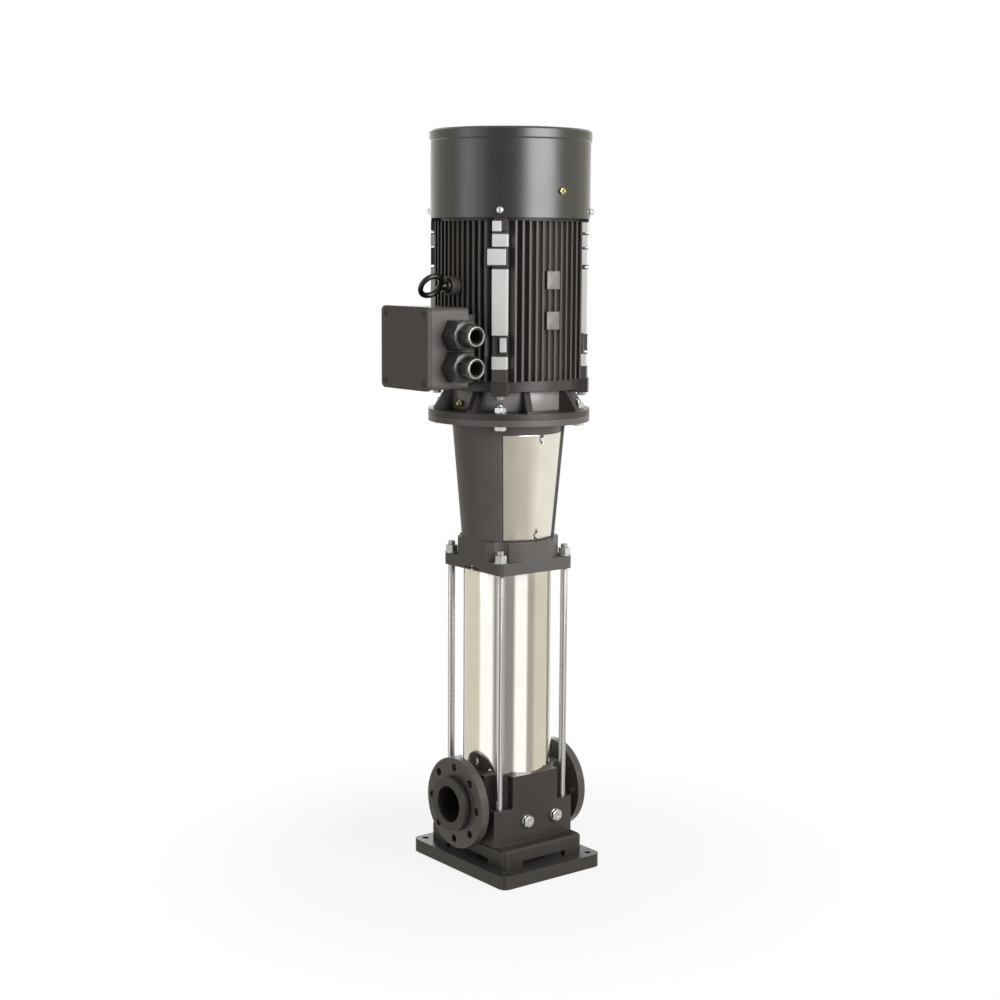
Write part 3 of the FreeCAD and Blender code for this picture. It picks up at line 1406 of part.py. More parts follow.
def terminal_box():
    """Cast box for the motor leads, open towards -X, with a round hole for the leads in its back."""
    depth = box_depth
    box = rounded_block(box_height, box_width, box_corner, 0, depth)
    inside = rounded_block(box_height - 2 * box_wall, box_width - 2 * box_wall, box_corner - box_wall / 2,
                           box_wall, depth)
    pillars = [rod(lid_pillar_radius, 0, depth, *place) for place in lid_screw_places()]
    box = box.cut(inside.cut(pillars))
    box = box.cut(rod(wire_hole_radius, -1, box_wall + 2))
    threads = [rod(lid_screw_dia / 2 + thread_gap, depth - lid_screw_reach - 3, lid_screw_reach + 4, *place)
               for place in lid_screw_places()]
    box = facing_x(box.cut(threads), box_back_x)
    glands = [rod_along(gland_thread_radius + thread_gap, (-gland_x, -box_width, z), Y_AXIS, box_width - 20)
              for z in (gland_upper_z, gland_lower_z)]
    return box.cut(glands)


def terminal_box_lid():
    """Shallow dished lid of the terminal box."""
    thick = lid_thick
    length = box_height + 2 * lid_overhang_z
    width = box_width + 2 * lid_overhang_y
    lid = rounded_block(length, width, lid_corner, 0, thick)
    top = [e for e in lid.Edges if e.BoundBox.ZMin > thick - 1e-6]
    lid = lid.makeFillet(lid_edge, top)
    dish = rounded_block(length - 2 * lid_dish_rim, width - 2 * lid_dish_rim, lid_corner, -1, thick - 3)
    holes = [rod(lid_screw_dia / 2 + running_gap, -1, thick + 2, *place) for place in lid_screw_places()]
    return facing_x(lid.cut([dish] + holes), box_front_x)


def lid_screws():
    """Screws in the corners of the lid."""
    screws = []
    for place in lid_screw_places():
        head = rod(lid_screw_head / 2, lid_thick, lid_screw_head_height, *place)
        shank = rod(lid_screw_dia / 2, -lid_screw_reach, lid_thick + lid_screw_reach + 1, *place)
        screws.append(joined([head, shank]))
    return facing_x(group(screws), box_front_x)


def terminal_board():
    """Board with six posts inside the terminal box."""
    board = block(-board_height / 2, board_height / 2, -board_width / 2, board_width / 2, 0, board_thick)
    ends = [(-board_height / 2, board_foot - board_height / 2),
            (board_height / 2 - board_foot, board_height / 2)]
    stands = [block(low, high, -board_width / 2, board_width / 2, -board_stand, 1) for low, high in ends]
    posts = [rod(terminal_post_dia / 2, board_thick - 1, terminal_post_height + 1, x, y * terminal_pitch)
             for x in (-terminal_row, terminal_row) for y in (-1, 0, 1)]
    return facing_x(joined([board] + stands + posts), box_back_x + box_wall + board_stand)


def chamfered_hexagon(across_flats, z, height, chamfer, turn=0.0):
    """Hexagonal prism whose corners are turned off at its top end."""
    reach = across_flats / math.sqrt(3) + 0.2
    limit = revolve([(0, z), (reach, z), (reach, z + height - chamfer), (reach - 2 * chamfer, z + height),
                     (0, z + height)])
    return hexagon(across_flats, z, height, turn=turn).common(limit)


def gland_bodies():
    """Large hexagon bodies of the cable glands, screwed into the side of the terminal box."""
    side = box_width / 2
    inner_end = box_wall + 8
    bodies = []
    for z in (gland_upper_z, gland_lower_z):
        body = chamfered_hexagon(gland_hex, 0, gland_body_length, gland_body_chamfer, 0)
        body = joined([body, rod(gland_thread_radius, -inner_end, inner_end + 1),
                       rod(gland_nipple_radius, gland_body_length - 1, gland_nipple_length + 1)])
        body = body.cut(rod(gland_bore_radius, -inner_end - 1,
                            inner_end + gland_body_length + gland_nipple_length + 2))
        bodies.append(moved(turned(body, 90, X_AXIS), -gland_x, -side, z))
    return group(bodies)


def gland_nuts():
    """Hexagonal clamping nuts of the cable glands, over their bodies, with a domed end."""
    side = box_width / 2 + gland_body_length
    nuts = []
    for z in (gland_upper_z, gland_lower_z):
        reach = gland_nut_hex / math.sqrt(3) + 0.2
        dome = gland_nut_length - gland_nut_dome
        limit = revolve([(0, running_gap), (reach, running_gap), (reach, dome),
                         (gland_nut_rim + 3, gland_nut_length),
                         (0, gland_nut_length)])
        nut = hexagon(gland_nut_hex, 0, gland_nut_length, turn=30).common(limit)
        nut = nut.cut([rod(gland_nipple_radius + thread_gap, -1, gland_nipple_length + 1.3),
                       rod(gland_bore_radius + 1, -1, gland_nut_length + 4)])
        nuts.append(moved(turned(nut, 90, X_AXIS), -gland_x, -side, z))
    return group(nuts)


def lifting_eye():
    """Eye bolt screwed into the frame above the terminal box."""
    ring = Part.makeTorus(eye_ring_radius, eye_section_radius, ORIGIN, Y_AXIS)
    ring = moved(turned(ring, eye_turn, X_AXIS), -eye_x, 0, eye_z)
    collar = rod_along(eye_collar_radius, (-eye_boss_x - eye_collar_thick, 0, eye_z), X_AXIS,
                       eye_collar_thick)
    neck_length = eye_x - eye_ring_radius - eye_boss_x
    stem = rod_along(eye_shank_radius + 1, (-eye_boss_x - neck_length - 2, 0, eye_z), X_AXIS, neck_length)
    shank = rod_along(eye_shank_radius, (-eye_boss_x - 2, 0, eye_z), X_AXIS, eye_shank_length + 2)
    return joined([ring, collar, stem, shank])


def grease_nipples():
    """Brass fittings: one on the fan cover and one low on the drive end shield."""
    hex_height = nipple_length / 2
    fitting = joined([hexagon(nipple_hex, 0, hex_height), rod(nipple_stem_radius, -6, 7),
                      rod(nipple_stem_radius, hex_height - 1, nipple_length - hex_height + 1)])
    upper = moved(turned(fitting, 90, X_AXIS), 0, -cover_radius, nipple_z)
    lower = joined([hexagon(nipple_hex, 0, drain_nipple_reach, turn=30), rod(nipple_stem_radius, -4, 5)])
    lower = moved(turned(lower, -90, Y_AXIS), -shield_drum_radius, 0, drain_nipple_z)
    return group([upper, lower])


def sub_parts():
    """Every sub-part with its node name."""
    parts = {
        "base_plate": base_plate(),
        "foot_screws": foot_screws(),
        "pump_casing": pump_casing(),
        "inlet_flange": loose_flange(port_face_x - collar_thick - running_gap - inlet_flange_slack, -1),
        "outlet_flange": loose_flange(port_face_x - collar_thick - running_gap, 1),
        "drain_plugs": drain_plugs(),
        "outer_sleeve": outer_sleeve(),
        "sleeve_o_rings": sleeve_o_rings(),
        "stay_bolts": stay_bolts(),
        "stay_bolt_nuts": stay_bolt_nuts(),
        "pump_head": pump_head(),
        "vent_plug": vent_plug(),
        "inlet_part": inlet_part(),
        "top_bracket": top_bracket(),
        "bearing_bush": bearing_bush(),
        "seal_seat": seal_seat(),
        "seal_cover": seal_cover(),
        "seal_screws": seal_screws(),
        "motor_stool": motor_stool(),
        "stool_screws": stool_screws(),
        "coupling_guards": coupling_guards(),
        "guard_screws": guard_screws(),
        "flange_bolts": flange_bolts(),
        "flange_nuts": flange_nuts(),
        "drive_end_shield": drive_end_shield(),
        "shield_bolts": shield_bolts(),
        "stator_frame": stator_frame(),
        "stator_core": stator_core(),
        "stator_windings": stator_windings(),
        "bearing_outer_rings": bearing_outer_rings(),
        "fan_end_shield": fan_end_shield(),
        "fan_cover": fan_cover(),
        "fan_cover_screws": fan_cover_screws(),
        "terminal_box": terminal_box(),
        "terminal_box_lid": terminal_box_lid(),
        "lid_screws": lid_screws(),
        "terminal_board": terminal_board(),
        "gland_bodies": gland_bodies(),
        "gland_nuts": gland_nuts(),
        "lifting_eye": lifting_eye(),
        "grease_nipples": grease_nipples(),
        "pump_shaft": pump_shaft(),
        "shaft_spacers": shaft_spacers(),
        "rotating_seal": rotating_seal(),
        "coupling_halves": coupling_halves(),
        "coupling_screws": coupling_screws(),
        "motor_shaft": motor_shaft(),
        "rotor_core": rotor_core(),
        "bearing_inner_rings": bearing_inner_rings(),
        "cooling_fan": cooling_fan(),
    }
    for index in range(stage_count):
        parts["stage_chamber_%d" % (index + 1)] = stage_chamber(index)
        parts["impeller_%d" % (index + 1)] = impeller(index)
    return parts


os.makedirs("parts", exist_ok=True)
for name, shape in sub_parts().items():
    shape.exportStep("parts/%s.step" % name)
    print(name, len(shape.Solids), "solids", round(shape.Volume), shape.isValid())
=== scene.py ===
# %% [markdown]
# This lesson dresses a tall in-line pump: iron castings at the foot, a polished steel sleeve held by four
# rods, and a finned electric motor on top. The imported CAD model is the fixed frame. Castings whose shape is
# right keep their mesh and get a finish. Bright turned and pressed pieces are made again as numpy surfaces.

# %% Load the frame
import json
import math

import bmesh
import bpy
import numpy as np
from mathutils import Matrix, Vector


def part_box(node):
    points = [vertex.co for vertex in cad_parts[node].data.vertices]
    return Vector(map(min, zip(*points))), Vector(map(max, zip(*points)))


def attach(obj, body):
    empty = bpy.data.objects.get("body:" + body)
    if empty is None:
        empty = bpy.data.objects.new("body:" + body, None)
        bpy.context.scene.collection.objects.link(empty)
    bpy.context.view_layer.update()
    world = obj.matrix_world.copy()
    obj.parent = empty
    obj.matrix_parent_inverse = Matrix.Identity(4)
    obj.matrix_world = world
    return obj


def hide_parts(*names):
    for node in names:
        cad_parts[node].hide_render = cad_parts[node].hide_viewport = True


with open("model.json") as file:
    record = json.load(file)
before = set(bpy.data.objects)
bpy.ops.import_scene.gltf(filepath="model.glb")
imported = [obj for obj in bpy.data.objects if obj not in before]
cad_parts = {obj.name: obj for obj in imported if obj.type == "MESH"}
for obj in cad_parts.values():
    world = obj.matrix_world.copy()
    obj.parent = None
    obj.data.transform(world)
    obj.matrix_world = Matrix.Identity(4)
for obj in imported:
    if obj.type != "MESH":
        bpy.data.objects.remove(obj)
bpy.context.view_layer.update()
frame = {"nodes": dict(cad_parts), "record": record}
nodes = frame["nodes"]
print("frame loaded with", len(nodes), "nodes")

# %% [markdown]
# The photograph was taken from a little above the motor's middle, about 3.9 m away, with a long lens. The
# camera is placed from its distance, its height and the direction in which it stands. Its three small
# turns are a tilt down, a turn aside and a roll, found by fitting the rims and corners of the pump.

# %% Camera
camera_turn = -0.66438
camera_distance = 3.89374
camera_height = 1.35984
camera_tilt = 0.139799
camera_aside = -0.0045599
camera_roll = 0.00626158
film_width = 36.0
focal_length = 64.712


def camera_axes():
    """Right, up and back directions: the level frame is turned aside, tilted down, then rolled."""
    right = np.array([math.cos(camera_turn), math.sin(camera_turn), 0.0])
    ahead = np.array([-math.sin(camera_turn), math.cos(camera_turn), 0.0])
    side = math.cos(camera_aside) * right - math.sin(camera_aside) * ahead
    level = math.sin(camera_aside) * right + math.cos(camera_aside) * ahead
    up = np.array([0.0, 0.0, 1.0])
    forward = level * math.cos(camera_tilt) - up * math.sin(camera_tilt)
    upward = level * math.sin(camera_tilt) + up * math.cos(camera_tilt)
    across = side * math.cos(camera_roll) + upward * math.sin(camera_roll)
    rise = upward * math.cos(camera_roll) - side * math.sin(camera_roll)
    return across, rise, -forward


lens = bpy.data.cameras.new("camera")
lens.sensor_width = film_width
lens.lens = focal_length
camera = bpy.data.objects.new("camera", lens)
bpy.context.collection.objects.link(camera)
place = [camera_distance * math.sin(camera_turn), -camera_distance * math.cos(camera_turn), camera_height]
turn = np.eye(4)
turn[:3, :3] = np.array(camera_axes()).T
turn[:3, 3] = place
camera.matrix_world = Matrix(turn.tolist())
bpy.context.scene.camera = camera
print("camera stands at", [round(value, 3) for value in place])

# %% [markdown]
# Every finish is a small tree of shader nodes. Two helpers keep them short: one turns a hex code into the
# linear colour that Blender works in, the other adds a node with its settings and its links. Patterns read
# object coordinates in metres, so a scale of 1000 means one cell to a millimetre. Noise stays mostly between
# 0.3 and 0.7, so that span is stretched wherever noise steers a finish.

# %% Helpers for finishes
noise_span = {"From Min": 0.3, "From Max": 0.7}
flat_match = 0.99
sharp_match = 0.80
most_edge_tone = 0.55


def linear(code):
    """A hex colour as linear light: each channel c becomes ((c + 0.055) / 1.055) to the power 2.4."""
    parts = np.array([int(code[i:i + 2], 16) for i in (1, 3, 5)]) / 255.0
    light = np.where(parts <= 0.04045, parts / 12.92, ((parts + 0.055) / 1.055) ** 2.4)
    return (*light.tolist(), 1.0)


def add_node(tree, kind, inputs=None, **settings):
    """Adds one node; an input that is a socket is linked, any other value is set on the socket."""
    made = tree.nodes.new(kind)
    for name, value in settings.items():
        setattr(made, name, value)
    for name, value in (inputs or {}).items():
        if isinstance(value, bpy.types.NodeSocket):
            tree.links.new(value, made.inputs[name])
        else:
            made.inputs[name].default_value = value
    return made


def new_finish(name):
    """An empty material with its output, its shader and the object coordinates of its piece."""
    finish = bpy.data.materials.new(name)
    finish.use_nodes = True
    tree = finish.node_tree
    tree.nodes.clear()
    shader = add_node(tree, "ShaderNodeBsdfPrincipled")
    add_node(tree, "ShaderNodeOutputMaterial", {"Surface": shader.outputs["BSDF"]})
    spot = add_node(tree, "ShaderNodeTexCoord").outputs["Object"]
    return finish, tree, shader, spot


def edge_wear_and_highlight(tree, width, shade, edge_tone):
    """Colour that turns to a paler edge tone where the surface bends within the width, in metres.

    A bend is found by the dot product of the rounded normal and the true one: 1 is flat, less is a bend.
    The paler edge is partly worn paint and partly a painted highlight.
    """
    rounded = add_node(tree, "ShaderNodeBevel", {"Radius": width}, samples=6)
    true_face = add_node(tree, "ShaderNodeNewGeometry")
    match = add_node(tree, "ShaderNodeVectorMath",
                     {0: rounded.outputs["Normal"], 1: true_face.outputs["Normal"]},
                     operation="DOT_PRODUCT")
    bend = add_node(tree, "ShaderNodeMapRange", {"Value": match.outputs["Value"], "From Min": flat_match,
                                                 "From Max": sharp_match, "To Max": most_edge_tone})
    mixed = add_node(tree, "ShaderNodeMix", {0: bend.outputs["Result"], "A": shade, "B": linear(edge_tone)},
                     data_type="RGBA")
    return mixed.outputs[2], rounded.outputs["Normal"]


def link_in(tree, shader, **sockets):
    """Links or sets the named inputs of a shader; an underscore stands for a space."""
    for name, value in sockets.items():
        socket = shader.inputs[name.replace("_", " ")]
        if isinstance(value, bpy.types.NodeSocket):
            tree.links.new(value, socket)
        else:
            socket.default_value = value


print("helpers for finishes are ready")

# %% [markdown]
# The castings are grey iron with two coats of satin paint, sprayed over the sand-cast skin. Paint fills the
# fine grain and leaves a pebbled skin with grains of one to three millimetres, over slow waves. Its edges
# are painted paler, partly as thin worn paint and partly as a painted highlight. The colour is a dark warm
# grey that varies a little from place to place.
# The deep channels between the motor's fins are painted paler: painted light that lifts the shade in them.
# A grain of 350 cells to a metre is 2.9 mm across, and the 700 of the fins is 1.4 mm.

# %% Painted iron
paint_edge = 0.0018
wave_depth = 0.0010
pebble_depth = 0.0003
# The paler colour of the fin channels is painted light that lifts the shade between the fins.
channel_painted_light = "#c9c4be"
painted_light_fade = 0.014


def painted_iron(name, code, pale, edge_tone, rough, grain, channel=None):
    """Satin paint on sand-cast iron: grain in cells to a metre, a slow wave, and paler edges, which are
    partly thin paint and partly a painted highlight.

    Nearer to the shaft than a channel radius in metres, it turns paler: painted light that lifts the shade
    in the fin channels. The distance from the shaft is the root of x squared plus y squared.
    """
    finish, tree, shader, spot = new_finish(name)
    cloud = add_node(tree, "ShaderNodeTexNoise", {"Vector": spot, "Scale": 18.0, "Detail": 4.0})
    skin = add_node(tree, "ShaderNodeTexNoise",
                    {"Vector": spot, "Scale": grain, "Detail": 5.0, "Roughness": 0.6})
    tone = add_node(tree, "ShaderNodeMix", {0: cloud.outputs["Fac"], "A": linear(code), "B": linear(pale)},
                    data_type="RGBA")
    shade, rounded = edge_wear_and_highlight(tree, paint_edge, tone.outputs[2], edge_tone)
    # Painted light: deep in the fin channels the colour fades to a paler one.
    if channel:
        level = add_node(tree, "ShaderNodeVectorMath", {0: spot, 1: (1.0, 1.0, 0.0)}, operation="MULTIPLY")
        reach = add_node(tree, "ShaderNodeVectorMath", {0: level.outputs[0]}, operation="LENGTH")
        deep = add_node(tree, "ShaderNodeMapRange",
                        {"Value": reach.outputs["Value"], "From Min": channel,
                         "From Max": channel - painted_light_fade})
        lit_channel = add_node(tree, "ShaderNodeMix",
                         {0: deep.outputs["Result"], "A": shade, "B": linear(channel_painted_light)},
                         data_type="RGBA")
        shade = lit_channel.outputs[2]
    wave = add_node(tree, "ShaderNodeBump",
                    {"Strength": 0.25, "Distance": wave_depth, "Height": cloud.outputs["Fac"],
                     "Normal": rounded})
    pebble = add_node(tree, "ShaderNodeBump",
                      {"Strength": 0.35, "Distance": pebble_depth, "Height": skin.outputs["Fac"],
                       "Normal": wave.outputs["Normal"]})
    sheen = add_node(tree, "ShaderNodeMapRange",
                     {"Value": skin.outputs["Fac"], **noise_span,
                      "To Min": rough - 0.06, "To Max": rough + 0.08})
    link_in(tree, shader, Base_Color=shade, Roughness=sheen.outputs["Result"],
            Normal=pebble.outputs["Normal"], IOR=1.45)
    return finish


cast_paint = painted_iron("cast_paint", "#2f2b2a", "#3d3836", "#6b6662", 0.40, 350.0)
plate_paint = painted_iron("plate_paint", "#2f2d2b", "#3b3836", "#625d59", 0.42, 350.0)
stool_paint = painted_iron("stool_paint", "#55514f", "#5f5b59", "#7e7873", 0.38, 450.0)
channel_radius = 0.142
fin_paint = painted_iron("fin_paint", "#45413f", "#4d4947", "#938d88", 0.40, 700.0, channel_radius)
flange_paint = painted_iron("flange_paint", "#4c4846", "#575350", "#8b8580", 0.34, 350.0)
print("painted iron in five mixes")

# %% [markdown]
# The fan cover and the lid of the terminal box are pressed from steel sheet and sprayed with gloss paint.
# The sheet is smooth, so only the faint orange peel of the spray shows, about 2 mm across. That smooth skin
# gives the broad soft bands of reflected light that run down the cover.

# %% Gloss paint on sheet
sheet_edge = 0.0030
peel_depth = 0.0002


def gloss_paint(name, code, pale, rough, coat):
    """Gloss paint with orange peel 2 mm across, dust that dulls it slightly and a clear coat."""
    finish, tree, shader, spot = new_finish(name)
    peel = add_node(tree, "ShaderNodeTexNoise", {"Vector": spot, "Scale": 450.0, "Detail": 2.0})
    dust = add_node(tree, "ShaderNodeTexNoise", {"Vector": spot, "Scale": 12.0, "Detail": 6.0})
    tone = add_node(tree, "ShaderNodeMix", {0: dust.outputs["Fac"], "A": linear(code), "B": linear(pale)},
                    data_type="RGBA")
    shade, rounded = edge_wear_and_highlight(tree, sheet_edge, tone.outputs[2], "#55524f")
    bump = add_node(tree, "ShaderNodeBump",
                    {"Strength": 0.12, "Distance": peel_depth, "Height": peel.outputs["Fac"],
                     "Normal": rounded})
    gloss = add_node(tree, "ShaderNodeMapRange",
                     {"Value": dust.outputs["Fac"], **noise_span,
                      "To Min": rough - 0.02, "To Max": rough + 0.05})
    link_in(tree, shader, Base_Color=shade, Roughness=gloss.outputs["Result"], Normal=bump.outputs["Normal"],
            IOR=1.5, Coat_Weight=coat, Coat_Roughness=0.30)
    return finish


cover_paint = gloss_paint("cover_paint", "#232221", "#282726", 0.33, 0.6)
lid_paint = gloss_paint("lid_paint", "#3d3939", "#433f3e", 0.55, 0.0)
# The drum's pale grey is a painted reflection of the white studio.
drum_reflection_paint = gloss_paint("drum_reflection_paint", "#7b7774", "#85817e", 0.34, 0.6)
print("gloss paint in three mixes")

# %% [markdown]
# Bright metal comes in several makes here. The sleeve is rolled stainless, polished round and round. The
# guards are stainless sheet brushed upright, the rods are drawn, and the nuts and bolts are zinc plated.
# One function makes them all: noise stretched along one direction gives the scratches, a second noise the
# slow cloudiness of the metal, and each make has its own scale, direction and roughness. On the sleeve the
# scratches lie 0.4 mm apart and run 25 mm round it. The upright ones lie 0.6 mm apart and run 80 mm.

# %% Bright metals
metal_edge = 0.0006
scratch_depth = 0.0001


def bright_metal(name, code, cloudy, rough, stretch, depth, stain=25.0):
    """Metal with scratches: noise on coordinates stretched by cells to a metre along x, y and z."""
    finish, tree, shader, spot = new_finish(name)
    lay = add_node(tree, "ShaderNodeMapping", {"Vector": spot, "Scale": stretch})
    scratch = add_node(tree, "ShaderNodeTexNoise",
                       {"Vector": lay.outputs["Vector"], "Scale": 1.0, "Detail": 4.0, "Roughness": 0.65})
    cloud = add_node(tree, "ShaderNodeTexNoise", {"Vector": spot, "Scale": stain, "Detail": 5.0})
    tone = add_node(tree, "ShaderNodeMix", {0: cloud.outputs["Fac"], "A": linear(code), "B": linear(cloudy)},
                    data_type="RGBA")
    rounded = add_node(tree, "ShaderNodeBevel", {"Radius": metal_edge}, samples=4)
    bump = add_node(tree, "ShaderNodeBump",
                    {"Strength": depth, "Distance": scratch_depth, "Height": scratch.outputs["Fac"],
                     "Normal": rounded.outputs["Normal"]})
    dull = add_node(tree, "ShaderNodeMapRange",
                    {"Value": scratch.outputs["Fac"], **noise_span,
                     "To Min": rough * 0.8, "To Max": rough * 1.25})
    link_in(tree, shader, Base_Color=tone.outputs[2], Metallic=1.0, Roughness=dull.outputs["Result"],
            Normal=bump.outputs["Normal"])
    return finish


round_lay = (40.0, 40.0, 2500.0)
upright_lay = (1800.0, 1800.0, 12.0)
even_lay = (700.0, 700.0, 700.0)
stacked_lay = (30.0, 30.0, 1400.0)
wound_lay = (300.0, 300.0, 900.0)
polished_steel = bright_metal("polished_steel", "#f0eee8", "#e2dfd8", 0.10, round_lay, 0.05)
guard_steel = bright_metal("guard_steel", "#e9e5dc", "#d9d4c8", 0.22, upright_lay, 0.14, 14.0)
rod_steel = bright_metal("rod_steel", "#cfced0", "#c3c2c4", 0.24, upright_lay, 0.01)
pad_steel = bright_metal("pad_steel", "#7f7c7b", "#757271", 0.42, even_lay, 0.10)
zinc_steel = bright_metal("zinc_steel", "#dfe0e0", "#c4c8ca", 0.27, even_lay, 0.15, 180.0)
bare_steel = bright_metal("bare_steel", "#b4b3b1", "#a3a2a0", 0.30, round_lay, 0.20)
core_steel = bright_metal("core_steel", "#74747a", "#66666a", 0.45, stacked_lay, 0.60)
copper_wire = bright_metal("copper_wire", "#b8673a", "#a65a33", 0.35, wound_lay, 0.70)
brass_fitting = bright_metal("brass_fitting", "#cfc88c", "#b5ae74", 0.24, even_lay, 0.12, 150.0)
dark_eye = bright_metal("dark_eye", "#4a4745", "#3a3735", 0.36, even_lay, 0.35, 90.0)
print("bright metals in ten makes")

# %% [markdown]
# The faces of the four corner strips on the motor frame are machined and coated in a pale lacquer, so they
# stand out nearly white against the dark fins. Milling leaves faint level lines a millimetre apart.

# %% Pale machined faces
milled_edge = 0.0010
milled_face, tree, shader, spot = new_finish("milled_face")
mill = add_node(tree, "ShaderNodeTexWave", {"Vector": spot, "Scale": 300.0, "Distortion": 1.5, "Detail": 2.0},
                bands_direction="Z")
patch = add_node(tree, "ShaderNodeTexNoise", {"Vector": spot, "Scale": 30.0, "Detail": 5.0})
tone = add_node(tree, "ShaderNodeMix",
                {0: patch.outputs["Fac"], "A": linear("#ecebe9"), "B": linear("#dcdbd9")},
                data_type="RGBA")
shade, rounded = edge_wear_and_highlight(tree, milled_edge, tone.outputs[2], "#f2f2f0")
bump = add_node(tree, "ShaderNodeBump", {"Strength": 0.15, "Distance": scratch_depth,
                                         "Height": mill.outputs["Fac"], "Normal": rounded})
link_in(tree, shader, Base_Color=shade, Metallic=0.25, Roughness=0.32, Normal=bump.outputs["Normal"])
print("pale machined faces")

# %% [markdown]
# Moulded plastic and rubber are dull and dark. A moulded skin has a fine leathery grain, about half a
# millimetre across, and rubber has bloom, a pale dust that comes and goes over centimetres.

# %% Plastic and rubber
moulded_edge = 0.0008
grain_depth = 0.0001


def moulded(name, code, pale, rough, grain):
    """Moulded skin: fine grain for the bump, a slow cloud for colour and dullness."""
    finish, tree, shader, spot = new_finish(name)
    skin = add_node(tree, "ShaderNodeTexNoise", {"Vector": spot, "Scale": grain, "Detail": 3.0})
    bloom = add_node(tree, "ShaderNodeTexNoise", {"Vector": spot, "Scale": 40.0, "Detail": 5.0})
    tone = add_node(tree, "ShaderNodeMix", {0: bloom.outputs["Fac"], "A": linear(code), "B": linear(pale)},
                    data_type="RGBA")
    # The pale edge colour on moulded pieces is a painted highlight on their edges.
    shade, rounded = edge_wear_and_highlight(tree, moulded_edge, tone.outputs[2], "#8b8884")
    bump = add_node(tree, "ShaderNodeBump",
                    {"Strength": 0.25, "Distance": grain_depth, "Height": skin.outputs["Fac"],
                     "Normal": rounded})
    dull = add_node(tree, "ShaderNodeMapRange",
                    {"Value": bloom.outputs["Fac"], **noise_span,
                     "To Min": rough - 0.05, "To Max": rough + 0.08})
    link_in(tree, shader, Base_Color=shade, Roughness=dull.outputs["Result"], Normal=bump.outputs["Normal"],
            IOR=1.5)
    return finish


gland_plastic = moulded("gland_plastic", "#34312f", "#3d3a37", 0.22, 1500.0)
black_plastic = moulded("black_plastic", "#1b1b1b", "#232323", 0.42, 1800.0)
seal_rubber = moulded("seal_rubber", "#121212", "#1b1a19", 0.62, 900.0)
print("plastic and rubber")

# %% [markdown]
# Each CAD node that keeps its mesh gets its finish in its own material slots. The record's slot says which
# family the node belongs to, and a few nodes have a finish of their own that the photograph shows.

# %% Finishes of the CAD nodes
slot_finish = {
    "cast_paint": cast_paint, "cover_paint": cover_paint, "plate_paint": plate_paint,
    "polished_steel": polished_steel, "sheet_steel": guard_steel, "zinc_steel": zinc_steel,
    "bare_steel": bare_steel, "core_steel": core_steel, "copper_wire": copper_wire,
    "brass_fitting": brass_fitting, "seal_rubber": seal_rubber, "black_plastic": black_plastic,
    "gland_plastic": gland_plastic,
}
own_finish = {"motor_stool": stool_paint, "pump_head": stool_paint, "stator_frame": fin_paint,
              "terminal_box": stool_paint, "inlet_flange": flange_paint, "outlet_flange": flange_paint,
              "terminal_box_lid": lid_paint, "stay_bolts": rod_steel, "lifting_eye": dark_eye}
slot_of = {part["node"]: part["material_slot"] for part in frame["record"]["subparts"]}
for name, item in nodes.items():
    finish = own_finish.get(name, slot_finish[slot_of[name]])
    for index in range(max(1, len(item.data.materials))):
        if index < len(item.data.materials):
            item.data.materials[index] = finish
        else:
            item.data.materials.append(finish)
print("finishes on", len(nodes), "nodes")

# %% [markdown]
# New pieces are grids of points: each row is a ring round the piece and the rows follow its outline. All
# forms are made in millimetres about their own axis, then aimed and moved. The function build_piece joins
# the rows with four-sided faces, merges the points that meet at poles and seams, and turns the faces
# outwards. A form that sits at the motor's four corners takes its direction from a heading.

# %% Helpers for forms
corner_signs = [(1, 1), (-1, 1), (-1, -1), (1, -1)]
corner_degrees = (45.0, 135.0, 225.0, 315.0)
to_front = (0, -1, 0)
to_inlet = (-1, 0, 0)


def cad_heights(name):
    """Lowest and highest point of a CAD node in millimetres."""
    low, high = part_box(name)
    return low[2] * 1000, high[2] * 1000


def outward(degrees):
    """Level direction away from the shaft, (cos a, sin a, 0), and the level direction across it."""
    angle = math.radians(degrees)
    return (np.array([math.cos(angle), math.sin(angle), 0.0]),
            np.array([-math.sin(angle), math.cos(angle), 0.0]))


def ring_faces(rows, columns, start, open_side=False):
    """Faces between neighbouring rows: point (i, j) joins (i, j + 1), (i + 1, j + 1) and (i + 1, j)."""
    row, column = np.meshgrid(np.arange(rows - 1), np.arange(columns - open_side), indexing="ij")
    after = (column + 1) % columns
    corners = [row * columns + column, row * columns + after, (row + 1) * columns + after,
               (row + 1) * columns + column]
    return start + np.stack(corners, axis=-1).reshape(-1, 4)


def build_piece(name, grids, finish, stands_for=(), body="pump", sharp=35.0, open_side=False):
    """Makes one object from grids of points in millimetres, closed round their columns."""
    points, faces, start = [], [], 0
    for grid in grids:
        rows, columns = grid.shape[:2]
        points.append(grid.reshape(-1, 3) * 0.001)
        faces.append(ring_faces(rows, columns, start, open_side))
        start += rows * columns
    mesh = bpy.data.meshes.new(name)
    mesh.from_pydata(np.concatenate(points).tolist(), [], np.concatenate(faces).tolist())
    work = bmesh.new()
    work.from_mesh(mesh)
    bmesh.ops.remove_doubles(work, verts=work.verts, dist=1e-6)
    bmesh.ops.recalc_face_normals(work, faces=work.faces)
    work.to_mesh(mesh)
    work.free()
    mesh.polygons.foreach_set("use_smooth", np.ones(len(mesh.polygons), dtype=bool))
    mesh.set_sharp_from_angle(angle=math.radians(sharp))
    piece = bpy.data.objects.new(name, mesh)
    bpy.context.collection.objects.link(piece)
    mesh.materials.append(finish)
    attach(piece, body)
    if stands_for:
        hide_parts(*stands_for)
    print(name, "has", len(mesh.polygons), "faces")
    return piece


